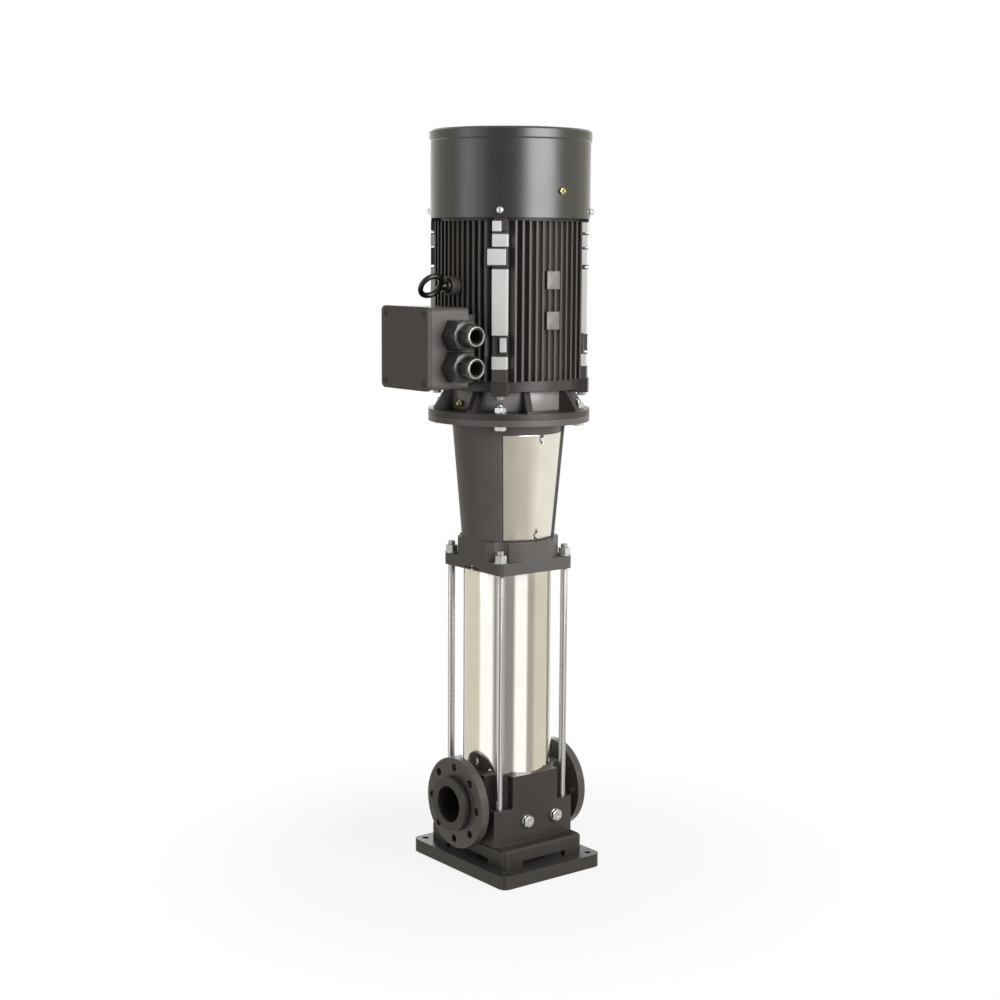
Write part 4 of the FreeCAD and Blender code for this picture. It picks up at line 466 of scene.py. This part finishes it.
def lathe(outline, count=96):
    """Surface of revolution: a point of the outline (r, z) becomes (r cos t, r sin t, z)."""
    outline = np.array(outline, dtype=float)
    angle = np.arange(count) * 2 * math.pi / count
    return np.stack([np.outer(outline[:, 0], np.cos(angle)), np.outer(outline[:, 0], np.sin(angle)),
                     np.repeat(outline[:, 1:2], count, axis=1)], axis=-1)


def six_sided(flats, outline, turn=0.0, count=96):
    """Hexagon cut by a turned outline: radius is the smaller of flats / 2 / cos(t) and the outline's r."""
    outline = np.array(outline, dtype=float)
    angle = np.arange(count) * 2 * math.pi / count
    from_flat = angle % (math.pi / 3) - math.pi / 6
    side = flats / 2 / np.cos(from_flat)
    radius = np.minimum(side[None, :], outline[:, 0:1])
    heading = angle + math.radians(turn)
    return np.stack([radius * np.cos(heading), radius * np.sin(heading),
                     np.repeat(outline[:, 1:2], count, axis=1)], axis=-1)


def aimed(grid, direction, at):
    """Turns a form so that its own z axis points along the direction, then moves it to a place."""
    ahead = np.array(direction, dtype=float)
    ahead = ahead / np.linalg.norm(ahead)
    across = np.cross([0.0, 0.0, 1.0], ahead)
    across = np.array([1.0, 0.0, 0.0]) if np.linalg.norm(across) < 1e-6 else across / np.linalg.norm(across)
    rise = np.cross(ahead, across)
    return grid @ np.array([across, rise, ahead]) + np.array(at, dtype=float)


end_face_share = 0.485
chamfer_share = 0.085
chamfer_curve = 1.4
corner_spare = 0.1


def hexagon_outline(flats, low, high, hole=0.0):
    """Outline that takes the corners off a hexagon at both ends, as on a turned nut.

    The radius grows from the end face's to just past the corners', flats / root 3, while the height rises.
    """
    reach = flats / math.sqrt(3) + corner_spare
    steps = np.linspace(0.0, 1.0, 7)
    ends = reach - (reach - flats * end_face_share) * (1 - steps) ** chamfer_curve
    rise = steps * flats * chamfer_share
    lower = list(zip(ends, low + rise))
    upper = list(zip(ends[::-1], high - rise[::-1]))
    closing = [(hole, high), (hole, low)] if hole else [(0.0, high)]
    return [(hole, low)] + lower + upper + closing


print("helpers for forms are ready")

# %% [markdown]
# The outer sleeve is a stainless tube, 198 mm across, rolled and polished. It is the brightest piece and it
# mirrors the studio, so it needs many columns to keep its reflections straight. Its ends hide in grooves.

# %% Outer sleeve
sleeve_low, sleeve_high = cad_heights("outer_sleeve")
sleeve_bore = 96.0
sleeve_radius = 98.95
edge_inset = 0.55
edge_height = 0.5
sleeve_columns = 288
sleeve_outline = [(sleeve_bore, sleeve_low), (sleeve_radius - edge_inset, sleeve_low),
                  (sleeve_radius, sleeve_low + edge_height), (sleeve_radius, sleeve_high - edge_height),
                  (sleeve_radius - edge_inset, sleeve_high), (sleeve_bore, sleeve_high),
                  (sleeve_bore, sleeve_low)]
build_piece("sleeve_tube", [lathe(sleeve_outline, sleeve_columns)], polished_steel, ("outer_sleeve",))

# %% [markdown]
# Four drawn rods clamp the head to the casing. Both ends are threaded: the thread is a helix with 2 mm
# pitch, rolled into the bar, so its crest stands as high as the bar. The radius of each point follows
# from how far round the helix it lies, and it stays plain between the threads.

# %% Stay rods
rod_radius = 8.0
rod_pitch = 2.0
thread_depth = 0.9
thread_length = 32.0
thread_step = 0.4
tip_chamfer = 1.2
tip_inset = 1.6
rod_low, rod_high = cad_heights("stay_bolts")


def threaded_rod(low, high, thread_start, x, y, count=40):
    """Rod whose radius falls by the thread's depth times a triangle wave of z / pitch minus t / 2 pi."""
    plain = np.linspace(low, thread_start, 4)
    rows = np.concatenate([plain, np.arange(thread_start, high - tip_chamfer, thread_step),
                           [high - tip_chamfer, high]])
    angle = np.arange(count) * 2 * math.pi / count
    phase = (rows[:, None] / rod_pitch - angle[None, :] / (2 * math.pi)) % 1.0
    groove = thread_depth * (1 - np.abs(2 * phase - 1)) * (rows[:, None] > thread_start)
    radius = rod_radius - groove
    radius[-1] = rod_radius - tip_inset
    ends = np.zeros((1, count))
    radius = np.concatenate([ends, radius, ends])
    rows = np.concatenate([[low], rows, [high]])
    return np.stack([x + radius * np.cos(angle), y + radius * np.sin(angle),
                     np.repeat(rows[:, None], count, axis=1)], axis=-1)


stay_half = 88.0
stay_places = [(stay_half * sx, stay_half * sy) for sx, sy in corner_signs]
rods = [threaded_rod(rod_low, rod_high, rod_high - thread_length, x, y) for x, y in stay_places]
build_piece("stay_rods", rods, rod_steel, ("stay_bolts",), sharp=50.0)

# %% [markdown]
# A flanged nut sits on each rod. It is a hexagon whose corners are turned off at the top, over a shallow
# skirt that spreads the load. The hexagon is the smaller of two radii: the distance to its flat side and
# the turned outline, which is what a chamfering tool leaves.

# %% Nuts of the stay rods
hexagon_flats = 24.0
nut_bore = 8.1
skirt_height = 3.6
hexagon_sunk = 1.2
nut_low, nut_high = cad_heights("stay_bolt_nuts")
skirt_top = nut_low + skirt_height
skirt_outline = [(nut_bore, nut_low), (15.1, nut_low), (15.5, nut_low + 0.8), (15.2, nut_low + 1.8),
                 (12.2, skirt_top), (nut_bore, skirt_top), (nut_bore, nut_low)]
nut_form = hexagon_outline(hexagon_flats, skirt_top - hexagon_sunk, nut_high, nut_bore)
stay_nuts = []
for x, y in stay_places:
    shift = np.array([x, y, 0.0])
    stay_nuts.append(lathe(skirt_outline, 64) + shift)
    stay_nuts.append(six_sided(hexagon_flats, nut_form) + shift)
build_piece("stay_rod_nuts", stay_nuts, zinc_steel, ("stay_bolt_nuts",))

# %% [markdown]
# Four bolts hold the motor's flange to the stool, heads down and nuts up.

# %% Bolts and nuts of the motor flange
bolt_low, bolt_high = cad_heights("flange_bolts")
upper_nut_low, upper_nut_high = cad_heights("flange_nuts")
bolt_circle_radius = 150.0
bolt_head = 10.0
lap = 1.0
head_form = hexagon_outline(hexagon_flats, bolt_low, bolt_low + bolt_head)
upper_nut_form = hexagon_outline(hexagon_flats, upper_nut_low, upper_nut_high, nut_bore)
bolts, nuts = [], []
for degrees in corner_degrees:
    shift = outward(degrees)[0] * bolt_circle_radius
    bolts.append(six_sided(hexagon_flats, head_form) + shift)
    bolts.append(threaded_rod(bolt_low + bolt_head - lap, bolt_high, upper_nut_high - lap, *shift[:2]))
    nuts.append(six_sided(hexagon_flats, upper_nut_form) + shift)
build_piece("motor_flange_bolts", bolts, zinc_steel, ("flange_bolts",), sharp=50.0)
build_piece("motor_flange_nuts", nuts, zinc_steel, ("flange_nuts",))

# %% [markdown]
# Two hexagon plugs close the drain holes at the front of the casing. Each has a turned collar that presses
# its sealing ring, and a slightly domed top.

# %% Drain plugs
plug_front = -1000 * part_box("drain_plugs")[0][1]
plug_head = 9.0
plug_height = 118.0
plug_sides = (-25.0, 54.0)
plug_outline = hexagon_outline(hexagon_flats, 1.0, plug_head)[:-1] + [(4.0, 9.0), (3.2, 8.2), (0.0, 8.2)]
collar_outline = [(0.0, -12.0), (8.0, -12.0), (8.0, -1.9), (13.3, -1.9), (13.5, -1.5), (13.5, 0.4),
                  (13.0, 1.2), (0.0, 1.2)]
plugs = []
for x in plug_sides:
    seat = (x, plug_head - plug_front, plug_height)
    plugs.append(aimed(six_sided(hexagon_flats, plug_outline, 30.0), to_front, seat))
    plugs.append(aimed(lathe(collar_outline, 64), to_front, seat))
build_piece("drain_plug_pair", plugs, zinc_steel, ("drain_plugs",))

# %% [markdown]
# The front and rear guards close the stool's windows, so that nobody can touch the turning coupling. Each
# is a sheet 1.2 mm thick that follows the cone of the stool. Its long edges are bent inwards, a slot at the
# top lets it be hung, and a slot at the bottom takes the screw. The sheet is a grid over angle and height:
# the slots are the faces that are left out, and a modifier gives it its thickness.

# %% Coupling guards
guard_low, guard_high = cad_heights("coupling_guards")
stool_foot = 734.0
cone_height = 255.0
cone_foot_radius = 101.0
cone_growth = 22.0
recess_depth = 6.5
seat_gap = 0.3
sheet_outside = 1.15
sheet_thick = 1.2
guard_half_angle = 45.0
bend_start = 44.0
bend_middle = 44.6
bend_depth = 3.4
slot_half = 4.1
slot_depth = 14.0
slot_radius = 100.0
plain_margin = 30.0
guard_columns = 91
guard_rows = 20


def guard_radius(height):
    """The cone of the stool at a height, less the depth of the recess, plus the gap and the sheet."""
    cone = cone_foot_radius + cone_growth * (height - stool_foot) / cone_height
    return cone - recess_depth + seat_gap + sheet_outside


def guard_sheet(name, middle):
    """Grid over angle and height: x = r(z) cos t, y = r(z) sin t, with r smaller at the bent edges."""
    slot_angle = math.degrees(slot_half / slot_radius)
    sweep = np.linspace(-guard_half_angle, guard_half_angle, guard_columns)
    marks = [slot_angle, bend_start, bend_middle]
    sweep = np.unique(np.concatenate([sweep, marks, np.negative(marks)]))
    inner = np.array([0.0, 2.0, slot_depth])
    plain = np.linspace(guard_low + plain_margin, guard_high - plain_margin, guard_rows)
    height = np.concatenate([guard_low + inner, plain, guard_high - inner[::-1]])
    angle = np.radians(sweep + middle)
    bent = bend_depth * np.clip(np.abs(sweep) - bend_start, 0.0, 1.0) ** 1.5
    radius = guard_radius(height)[:, None] - bent[None, :]
    grid = np.stack([radius * np.cos(angle), radius * np.sin(angle),
                     np.repeat(height[:, None], len(angle), axis=1)], axis=-1)
    faces = ring_faces(len(height), len(angle), 0, True)
    column = faces[:, 0] % len(angle)
    row = faces[:, 0] // len(angle)
    in_slot = (np.abs((sweep[column] + sweep[column + 1]) / 2) < slot_angle)
    in_slot &= (row < len(inner) - 1) | (row >= len(height) - len(inner))
    mesh = bpy.data.meshes.new(name)
    mesh.from_pydata((grid.reshape(-1, 3) * 0.001).tolist(), [], faces[~in_slot].tolist())
    work = bmesh.new()
    work.from_mesh(mesh)
    bmesh.ops.delete(work, geom=[v for v in work.verts if not v.link_faces], context="VERTS")
    work.to_mesh(mesh)
    work.free()
    mesh.polygons.foreach_set("use_smooth", np.ones(len(mesh.polygons), dtype=bool))
    mesh.materials.append(guard_steel)
    piece = bpy.data.objects.new(name, mesh)
    bpy.context.collection.objects.link(piece)
    wall = piece.modifiers.new("wall", "SOLIDIFY")
    wall.thickness = sheet_thick * 0.001
    wall.offset = -1.0
    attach(piece, "pump")
    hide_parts("coupling_guards")
    print(name, "has", len(mesh.polygons), "faces")
    return piece


guard_sheet("front_guard", -90.0)
guard_sheet("rear_guard", 90.0)

# %% [markdown]
# Domed screws hold the fan cover to its four posts and the lid to its box. The dome is a turned outline:
# its height over a point follows a quarter of an ellipse. A small round recess in its top stands for the
# driver's socket, whose six sides would be too small to see.

# %% Screws with domed heads
foot_share = 0.97
recess_taper = 0.9
recess_floor = 0.45


def domed_screw(radius, dome, shank, reach, recess):
    """Head outline: z = dome times the root of 1 - (r / radius) squared, with a recess at the middle."""
    along = np.linspace(1.0, recess / radius, 9)
    head = [(radius * a, dome * math.sqrt(max(0.0, 1 - a * a))) for a in along]
    floor = head[-1][1] * recess_floor
    return lathe([(0.0, -reach), (shank, -reach), (shank, 0.0), (radius * foot_share, 0.0)] + head
                 + [(recess * recess_taper, floor), (0.0, floor)], 48)


cover_seat_radius = 173.4
cover_screw_height = 1435.0
lid_face_x = -277.0
box_middle = 1152.0
lid_screw_y = 69.0
lid_screw_z = 71.0
cover_screws = []
for degrees in corner_degrees:
    way = outward(degrees)[0]
    seat = way * cover_seat_radius + np.array([0.0, 0.0, cover_screw_height])
    cover_screws.append(aimed(domed_screw(8.0, 6.4, 4.0, 12.0, 2.4), way, seat))
build_piece("cover_screw_set", cover_screws, zinc_steel, ("fan_cover_screws",))
lid_screws = [aimed(domed_screw(6.0, 3.5, 3.0, 27.0, 2.0), to_inlet,
                    (lid_face_x, lid_screw_y * sy, box_middle + lid_screw_z * sz))
              for sy, sz in corner_signs]
build_piece("lid_screw_set", lid_screws, dark_eye, ("lid_screws",))

# %% [markdown]
# The terminal box has a pressed lid with round corners and a soft edge. A rounded slab is a stack of
# outlines: each row is the same rounded rectangle drawn in by some inset, at some height. The insets
# of a quarter circle give the rounded edge, and the last rows close the face, which is crowned a little.

# %% Lid of the terminal box


def rounded_outline(half_a, half_b, corner, count=24):
    """Rounded rectangle: four quarter circles of the corner's radius, joined by straight sides."""
    quarter = np.linspace(0.0, math.pi / 2, count)
    loop = []
    for index, (sa, sb) in enumerate(corner_signs):
        centre = np.array([sa * (half_a - corner), sb * (half_b - corner)])
        angle = quarter + index * math.pi / 2
        loop.append(centre + corner * np.stack([np.cos(angle), np.sin(angle)], axis=-1))
    return np.concatenate(loop)


def slab(half_a, half_b, corner, rows):
    """Stack of rounded rectangles from rows of (inset, height); an inset of None closes on the middle."""
    grid = []
    for inset, height in rows:
        if inset is None:
            flat = np.zeros_like(rounded_outline(half_a, half_b, corner))
        else:
            flat = rounded_outline(half_a - inset, half_b - inset, max(corner - inset, 1.0))
        grid.append(np.concatenate([flat, np.full((len(flat), 1), height)], axis=1))
    return np.array(grid)


def soft_edge(low, high, edge):
    """Rows for a slab whose top edge is a quarter circle and whose foot is square."""
    turn_steps = np.linspace(0.0, math.pi / 2, 7)
    rounded_rows = [(edge * (1 - math.cos(t)), high - edge + edge * math.sin(t)) for t in turn_steps]
    return [(None, low), (0.4, low), (0.0, low + 0.4)] + rounded_rows


lid_thick = 11.0
lid_half_width = 84.5
lid_half_height = 86.0
lid_corner = 12.0
lid_edge = 3.0
lid_rows = soft_edge(0.0, lid_thick - 0.6, lid_edge) + [(20.0, 10.6), (45.0, 10.9), (70.0, lid_thick),
                                                        (None, lid_thick)]
lid = aimed(slab(lid_half_width, lid_half_height, lid_corner, lid_rows), to_inlet,
            (lid_face_x + lid_thick, 0.0, box_middle))
build_piece("box_lid", [lid], lid_paint, ("terminal_box_lid",))

# %% [markdown]
# Corner strips run down the motor frame where its four bolts sit, and their machined faces shine. Deep
# grooves part each strip into lengths of its own. Each length is a block with soft edges that wraps the
# cast strip to its root, so its sides shine too, and stands half a millimetre proud of the cast face.

# %% Faces of the corner strips and side pads
strip_reach = 169.0
strip_depth = 18.0
strip_proud = 0.6
strip_wrap = 0.4
strip_corner = 1.2
strip_rows = soft_edge(-strip_depth, strip_proud, 0.8) + [(None, strip_proud)]
strip_lengths = [(1391.8, 1413.0, -16.0, 2.0), (1360.6, 1386.4, -16.0, 16.0), (1323.2, 1356.0, -26.0, 12.0),
                 (1178.4, 1314.4, -16.0, 16.0), (1144.0, 1173.4, 1.0, 14.0), (1108.0, 1134.4, -16.0, 16.0)]
strip_faces = []
for degrees in corner_degrees:
    way, aside = outward(degrees)
    for low, high, left, right in strip_lengths:
        seat = way * (strip_reach - 0.1) + aside * (left + right) / 2
        seat[2] = (low + high) / 2
        half_width = (right - left) / 2 + strip_wrap
        strip_faces.append(aimed(slab(half_width, (high - low) / 2, strip_corner, strip_rows), way, seat))
build_piece("strip_faces", strip_faces, milled_face)
pad_proud = 0.8
pad_face_y = -148.8
pad_rows = soft_edge(0.0, pad_proud, 0.6) + [(None, pad_proud)]
pads = [aimed(slab(16.6, 18.6, 1.5, pad_rows), to_front, (0.0, pad_face_y, z)) for z in (1292.0, 1208.0)]
build_piece("pad_faces", pads, pad_steel)

# %% [markdown]
# Between its eight ribs the drive end shield has a turned drum in smooth gloss paint, which shows as a
# paler band under the motor. Its pale grey is a painted reflection of the white studio, on top of the
# gloss's real reflections. It is a thin ring laid on the drum, its outline carried once round the shaft.

# %% Turned band of the drive end shield
band_low, band_high = 1017.0, 1058.5
band_bore, band_radius = 125.0, 126.5
band_outline = [(band_bore, band_low), (band_radius - 0.2, band_low + 0.2), (band_radius, band_low + 1.0),
                (band_radius, band_high - 1.0), (band_radius - 0.2, band_high - 0.2), (band_bore, band_high),
                (band_bore, band_low)]
build_piece("drum_band", [lathe(band_outline, 192)], drum_reflection_paint)

# %% [markdown]
# Cable glands screw into the side of the box. The large hexagon turns in the thread, the smaller one
# squeezes a rubber ring round the cable. Here no cable is fitted, so the ring's hole shows. A thin bright
# steel ring on the smaller nut's rounded top is a painted highlight on its edge.

# %% Cable glands
gland_x = -206.0
gland_heights = (1180.0, 1115.0)
box_side_y = -82.0
body_flats = 62.0
clamp_flats = 43.0
body_outline = [(14.0, -14.0), (20.0, -14.0), (20.0, -0.5), (33.0, -0.5), (35.2, 1.6), (35.8, 3.0),
                (35.8, 35.0), (34.6, 38.0), (32.0, 40.6), (29.0, 42.0), (18.0, 42.0), (18.0, 68.0),
                (14.0, 68.0), (14.0, -14.0)]
clamp_outline = [(18.1, 42.4), (22.5, 42.4), (24.8, 44.6), (24.8, 66.0), (23.6, 70.0), (21.0, 73.4),
                 (17.8, 75.0), (15.6, 74.6), (15.0, 73.0), (15.0, 68.4), (18.1, 68.4), (18.1, 42.4)]
ring_outline = [(14.9, 66.0), (14.9, 71.0), (14.2, 72.0), (14.0, 66.0), (14.9, 66.0)]
# A bright steel ring on the nut's top edge stands for the highlight there: a painted highlight.
rim_highlight_outline = [(17.6, 73.6), (18.4, 75.1), (19.6, 75.0), (21.0, 73.6), (21.3, 72.6), (17.6, 72.2),
               (17.6, 73.6)]
bodies, clamps, rings, rims = [], [], [], []
for z in gland_heights:
    seat = (gland_x, box_side_y, z)
    bodies.append(aimed(six_sided(body_flats, body_outline), to_front, seat))
    clamps.append(aimed(six_sided(clamp_flats, clamp_outline, 30.0), to_front, seat))
    rings.append(aimed(lathe(ring_outline, 48), to_front, seat))
    rims.append(aimed(lathe(rim_highlight_outline, 64), to_front, seat))
build_piece("gland_body_pair", bodies, gland_plastic, ("gland_bodies",))
build_piece("gland_nut_pair", clamps, gland_plastic, ("gland_nuts",))
build_piece("gland_seals", rings, seal_rubber)
build_piece("gland_rim_highlights", rims, bare_steel)

# %% [markdown]
# The lifting eye is forged: a ring that is thicker where it meets its stem, a collar that bears on the
# frame, and a threaded shank inside it. The ring is a circle carried round a circle, and the small circle's
# radius grows towards the stem. A flash line from the forging dies is left as a slight ridge.

# %% Lifting eye
eye_place = np.array([-208.0, 0.0, 1279.0])
ring_radius = 24.5
section_radius = 6.0
thicker = 0.08
flash_share = 0.02
eye_lean = 35.0
stem_start = -184.2


def forged_ring(count=96, around=32):
    """Torus with section radius s (1 + k cos t): thickest at t = 0, which points at the stem."""
    t = np.arange(count + 1) * 2 * math.pi / count
    u = np.arange(around) * 2 * math.pi / around
    flash = 1 + flash_share * (np.abs(np.cos(u)) > 0.98)
    section = section_radius * (1 + thicker * np.cos(t))[:, None] * flash[None, :]
    reach = ring_radius + section * np.cos(u)[None, :]
    ring = np.stack([reach * np.cos(t)[:, None], section * np.sin(u)[None, :],
                     reach * np.sin(t)[:, None]], axis=-1)
    lean = math.radians(eye_lean)
    tip = np.array([[1, 0, 0], [0, math.cos(lean), math.sin(lean)], [0, -math.sin(lean), math.cos(lean)]])
    return ring @ tip + eye_place


stem_outline = [(0.0, 0.0), (7.6, 0.0), (8.4, 4.0), (9.0, 10.5), (12.0, 11.0), (15.4, 11.6), (16.0, 12.6),
                (16.0, 17.0), (15.4, 18.0), (8.0, 18.0), (8.0, 41.0), (7.2, 42.0), (0.0, 42.0)]
stem = aimed(lathe(stem_outline, 64), (1, 0, 0), (stem_start, eye_place[1], eye_place[2]))
build_piece("forged_eye", [forged_ring(), stem], dark_eye, ("lifting_eye",))

# %% [markdown]
# Two brass fittings let grease in: one through the fan cover, one low on the drive end. Each has a hexagon,
# a neck and a rounded tip on which the grease gun clips.

# %% Grease fittings
fitting_flats = 13.0
upper_tip = [(0.0, 5.6), (3.5, 5.6), (3.5, 6.2), (3.5, 7.6), (2.6, 8.4), (2.6, 9.0), (3.5, 9.8),
             (3.6, 10.6), (2.6, 11.8), (0.0, 12.0)]
lower_tip = [(0.0, 7.6), (3.6, 7.6), (3.6, 11.4), (2.7, 12.0), (3.6, 12.6), (3.2, 13.6), (0.0, 14.0)]
fittings = []
for tip, head, way, seat in ((upper_tip, 6.0, to_front, (0.0, -171.5, 1475.0)),
                             (lower_tip, 8.0, to_inlet, (-126.0, 0.0, 1030.0))):
    fittings.append(aimed(six_sided(fitting_flats, hexagon_outline(fitting_flats, -0.4, head)), way, seat))
    fittings.append(aimed(lathe(tip, 32), way, seat))
build_piece("grease_fittings", fittings, brass_fitting, ("grease_nipples",))

# %% [markdown]
# The studio is a white sweep. The floor is seen as white and keeps a pale shadow, which fades out within a
# metre of the pump. Mirrors look through it, so that the stripes of the sleeve run down to its foot.

# %% Floor
floor_reach = 2.5
floor_drop = 0.0005
seen_white = 0.85
shadow_reach, shadow_end = 0.35, 0.85
floor_mesh = bpy.data.meshes.new("floor")
floor_corners = [(floor_reach * sx, floor_reach * sy, -floor_drop) for sx, sy in corner_signs]
floor_mesh.from_pydata(floor_corners, [], [(0, 1, 2, 3)])
floor = bpy.data.objects.new("floor", floor_mesh)
bpy.context.collection.objects.link(floor)
floor_finish = bpy.data.materials.new("floor_finish")
floor_finish.use_nodes = True
tree = floor_finish.node_tree
tree.nodes.clear()
rays = add_node(tree, "ShaderNodeLightPath")
matt = add_node(tree, "ShaderNodeBsdfDiffuse", {"Color": linear("#e9e9e7")})
bright = add_node(tree, "ShaderNodeEmission", {"Color": linear("#ffffff"), "Strength": 1.0})
share = add_node(tree, "ShaderNodeMath", {0: rays.outputs["Is Camera Ray"], 1: seen_white},
                 operation="MULTIPLY")
lit_floor = add_node(tree, "ShaderNodeMixShader", {0: share.outputs[0], 1: matt.outputs[0],
                                                   2: bright.outputs[0]})
spot = add_node(tree, "ShaderNodeTexCoord").outputs["Object"]
far = add_node(tree, "ShaderNodeVectorMath", {0: spot}, operation="LENGTH")
fade = add_node(tree, "ShaderNodeMapRange",
                {"Value": far.outputs["Value"], "From Min": shadow_reach, "From Max": shadow_end},
                interpolation_type="SMOOTHSTEP")
clear = add_node(tree, "ShaderNodeBsdfTransparent")
thin = add_node(tree, "ShaderNodeMath", {0: fade.outputs["Result"], 1: rays.outputs["Is Glossy Ray"]},
                operation="MAXIMUM")
faded = add_node(tree, "ShaderNodeMixShader", {0: thin.outputs[0], 1: lit_floor.outputs[0],
                                               2: clear.outputs[0]})
add_node(tree, "ShaderNodeOutputMaterial", {"Surface": faded.outputs[0]})
floor_mesh.materials.append(floor_finish)
print("floor is", 2 * floor_reach, "m wide")

# %% [markdown]
# The world is white to the camera. For light and for reflections it has the upright bands of a studio: white
# walls, warm cards at both sides and a grey gap behind the camera, which give the sleeve its stripes. The
# band depends only on the heading, which is the arc tangent of the direction's y over its x.

# %% World
world = bpy.data.worlds.new("studio")
bpy.context.scene.world = world
world.use_nodes = True
tree = world.node_tree
tree.nodes.clear()
soft_strength = 0.42
mirror_strength = 1.22
wall, gap, card, brown = "#ffffff", "#8e8c8a", "#cfcabb", "#a8a399"
stops = [(0.0, wall), (0.035, wall), (0.055, gap), (0.188, gap), (0.205, wall), (0.285, wall), (0.295, brown),
         (0.335, brown), (0.360, card), (0.550, card), (0.567, wall), (0.750, wall), (0.769, card),
         (0.931, card), (0.947, wall)]


def heading_bands(tree, vector, stops):
    """Colours over a vector's heading, the arc tangent of y over x, from -180 to 180 degrees as 0 to 1."""
    parts = add_node(tree, "ShaderNodeSeparateXYZ", {0: vector})
    heading = add_node(tree, "ShaderNodeMath", {0: parts.outputs["Y"], 1: parts.outputs["X"]},
                       operation="ARCTAN2")
    share = add_node(tree, "ShaderNodeMapRange", {"Value": heading.outputs[0], "From Min": -math.pi,
                                                  "From Max": math.pi})
    made = add_node(tree, "ShaderNodeValToRGB", {"Fac": share.outputs["Result"]})
    ramp = made.color_ramp
    while len(ramp.elements) < len(stops):
        ramp.elements.new(0.5)
    for element, (position, code) in zip(ramp.elements, stops):
        element.position = position
        element.color = linear(code)
    return made.outputs["Color"]


bands = heading_bands(tree, add_node(tree, "ShaderNodeTexCoord").outputs["Generated"], stops)
rays = add_node(tree, "ShaderNodeLightPath")
soft_light = add_node(tree, "ShaderNodeBackground", {"Color": bands, "Strength": soft_strength})
mirrored = add_node(tree, "ShaderNodeBackground", {"Color": bands, "Strength": mirror_strength})
backdrop = add_node(tree, "ShaderNodeBackground", {"Color": linear("#ffffff"), "Strength": 1.0})
lit = add_node(tree, "ShaderNodeMixShader", {0: rays.outputs["Is Glossy Ray"], 1: soft_light.outputs[0],
                                             2: mirrored.outputs[0]})
shown = add_node(tree, "ShaderNodeMixShader", {0: rays.outputs["Is Camera Ray"], 1: lit.outputs[0],
                                               2: backdrop.outputs[0]})
add_node(tree, "ShaderNodeOutputWorld", {"Surface": shown.outputs[0]})
print("world has", len(stops), "band stops")

# %% [markdown]
# A low curved card stands round the coupling guards. It is seen only in reflections, so it casts no shadow
# and the camera looks through it. Its left part is warm, its right part white, and the guard mirrors both.

# %% Reflecting card
card_radius = 0.45
card_low, card_high = 0.60, 0.95
card_sides = 96
card_strength = 1.15
warm, clean = "#b5b1ac", "#f2f1ef"
card_stops = [(0.0, warm), (0.255, warm), (0.300, "#d6d3ce"), (0.335, clean), (0.600, clean), (0.70, warm)]
card_angle = np.linspace(-math.pi, math.pi, card_sides + 1)
card_ring = np.stack([card_radius * np.cos(card_angle), card_radius * np.sin(card_angle)], axis=-1)
card_points = [(x, y, z) for z in (card_low, card_high) for x, y in card_ring.tolist()]
card_mesh = bpy.data.meshes.new("reflecting_card")
card_mesh.from_pydata(card_points, [], ring_faces(2, card_sides + 1, 0, True).tolist())
card_finish = bpy.data.materials.new("card_finish")
card_finish.use_nodes = True
tree = card_finish.node_tree
tree.nodes.clear()
spot = add_node(tree, "ShaderNodeTexCoord").outputs["Object"]
glow = add_node(tree, "ShaderNodeEmission", {"Color": heading_bands(tree, spot, card_stops),
                                             "Strength": card_strength})
add_node(tree, "ShaderNodeOutputMaterial", {"Surface": glow.outputs[0]})
card_mesh.materials.append(card_finish)
card_wall = bpy.data.objects.new("reflecting_card", card_mesh)
bpy.context.collection.objects.link(card_wall)
for ray in ("camera", "diffuse", "shadow", "transmission"):
    setattr(card_wall, "visible_" + ray, False)
print("reflecting card has", len(card_mesh.polygons), "faces")

# %% [markdown]
# Three upright soft boxes light the pump. The large one stands to the right of the camera and draws the broad
# pale band on the fan cover. A weaker one at the left gives the dark side a faint band of its own. The third
# stands behind the pump and lights its far edges.

# %% Lamps


def soft_box(name, degrees, distance, height, width, tall, power):
    """Upright area lamp at a heading and distance from the shaft, facing it."""
    data = bpy.data.lights.new(name, "AREA")
    data.shape = "RECTANGLE"
    data.size = width
    data.size_y = tall
    data.energy = power
    item = bpy.data.objects.new(name, data)
    bpy.context.collection.objects.link(item)
    heading = math.radians(degrees)
    item.location = (distance * math.cos(heading), distance * math.sin(heading), height)
    item.rotation_euler = (math.pi / 2, 0.0, heading + math.pi / 2)
    return item


soft_box("key_box", -84.0, 2.7, 1.80, 2.0, 1.8, 84.0)
soft_box("side_box", 170.0, 2.9, 1.2, 1.0, 2.2, 9.0)
soft_box("back_box", 60.0, 3.2, 1.5, 1.4, 2.2, 20.0)
bpy.context.scene.view_settings.view_transform = "Standard"
print("three soft boxes")
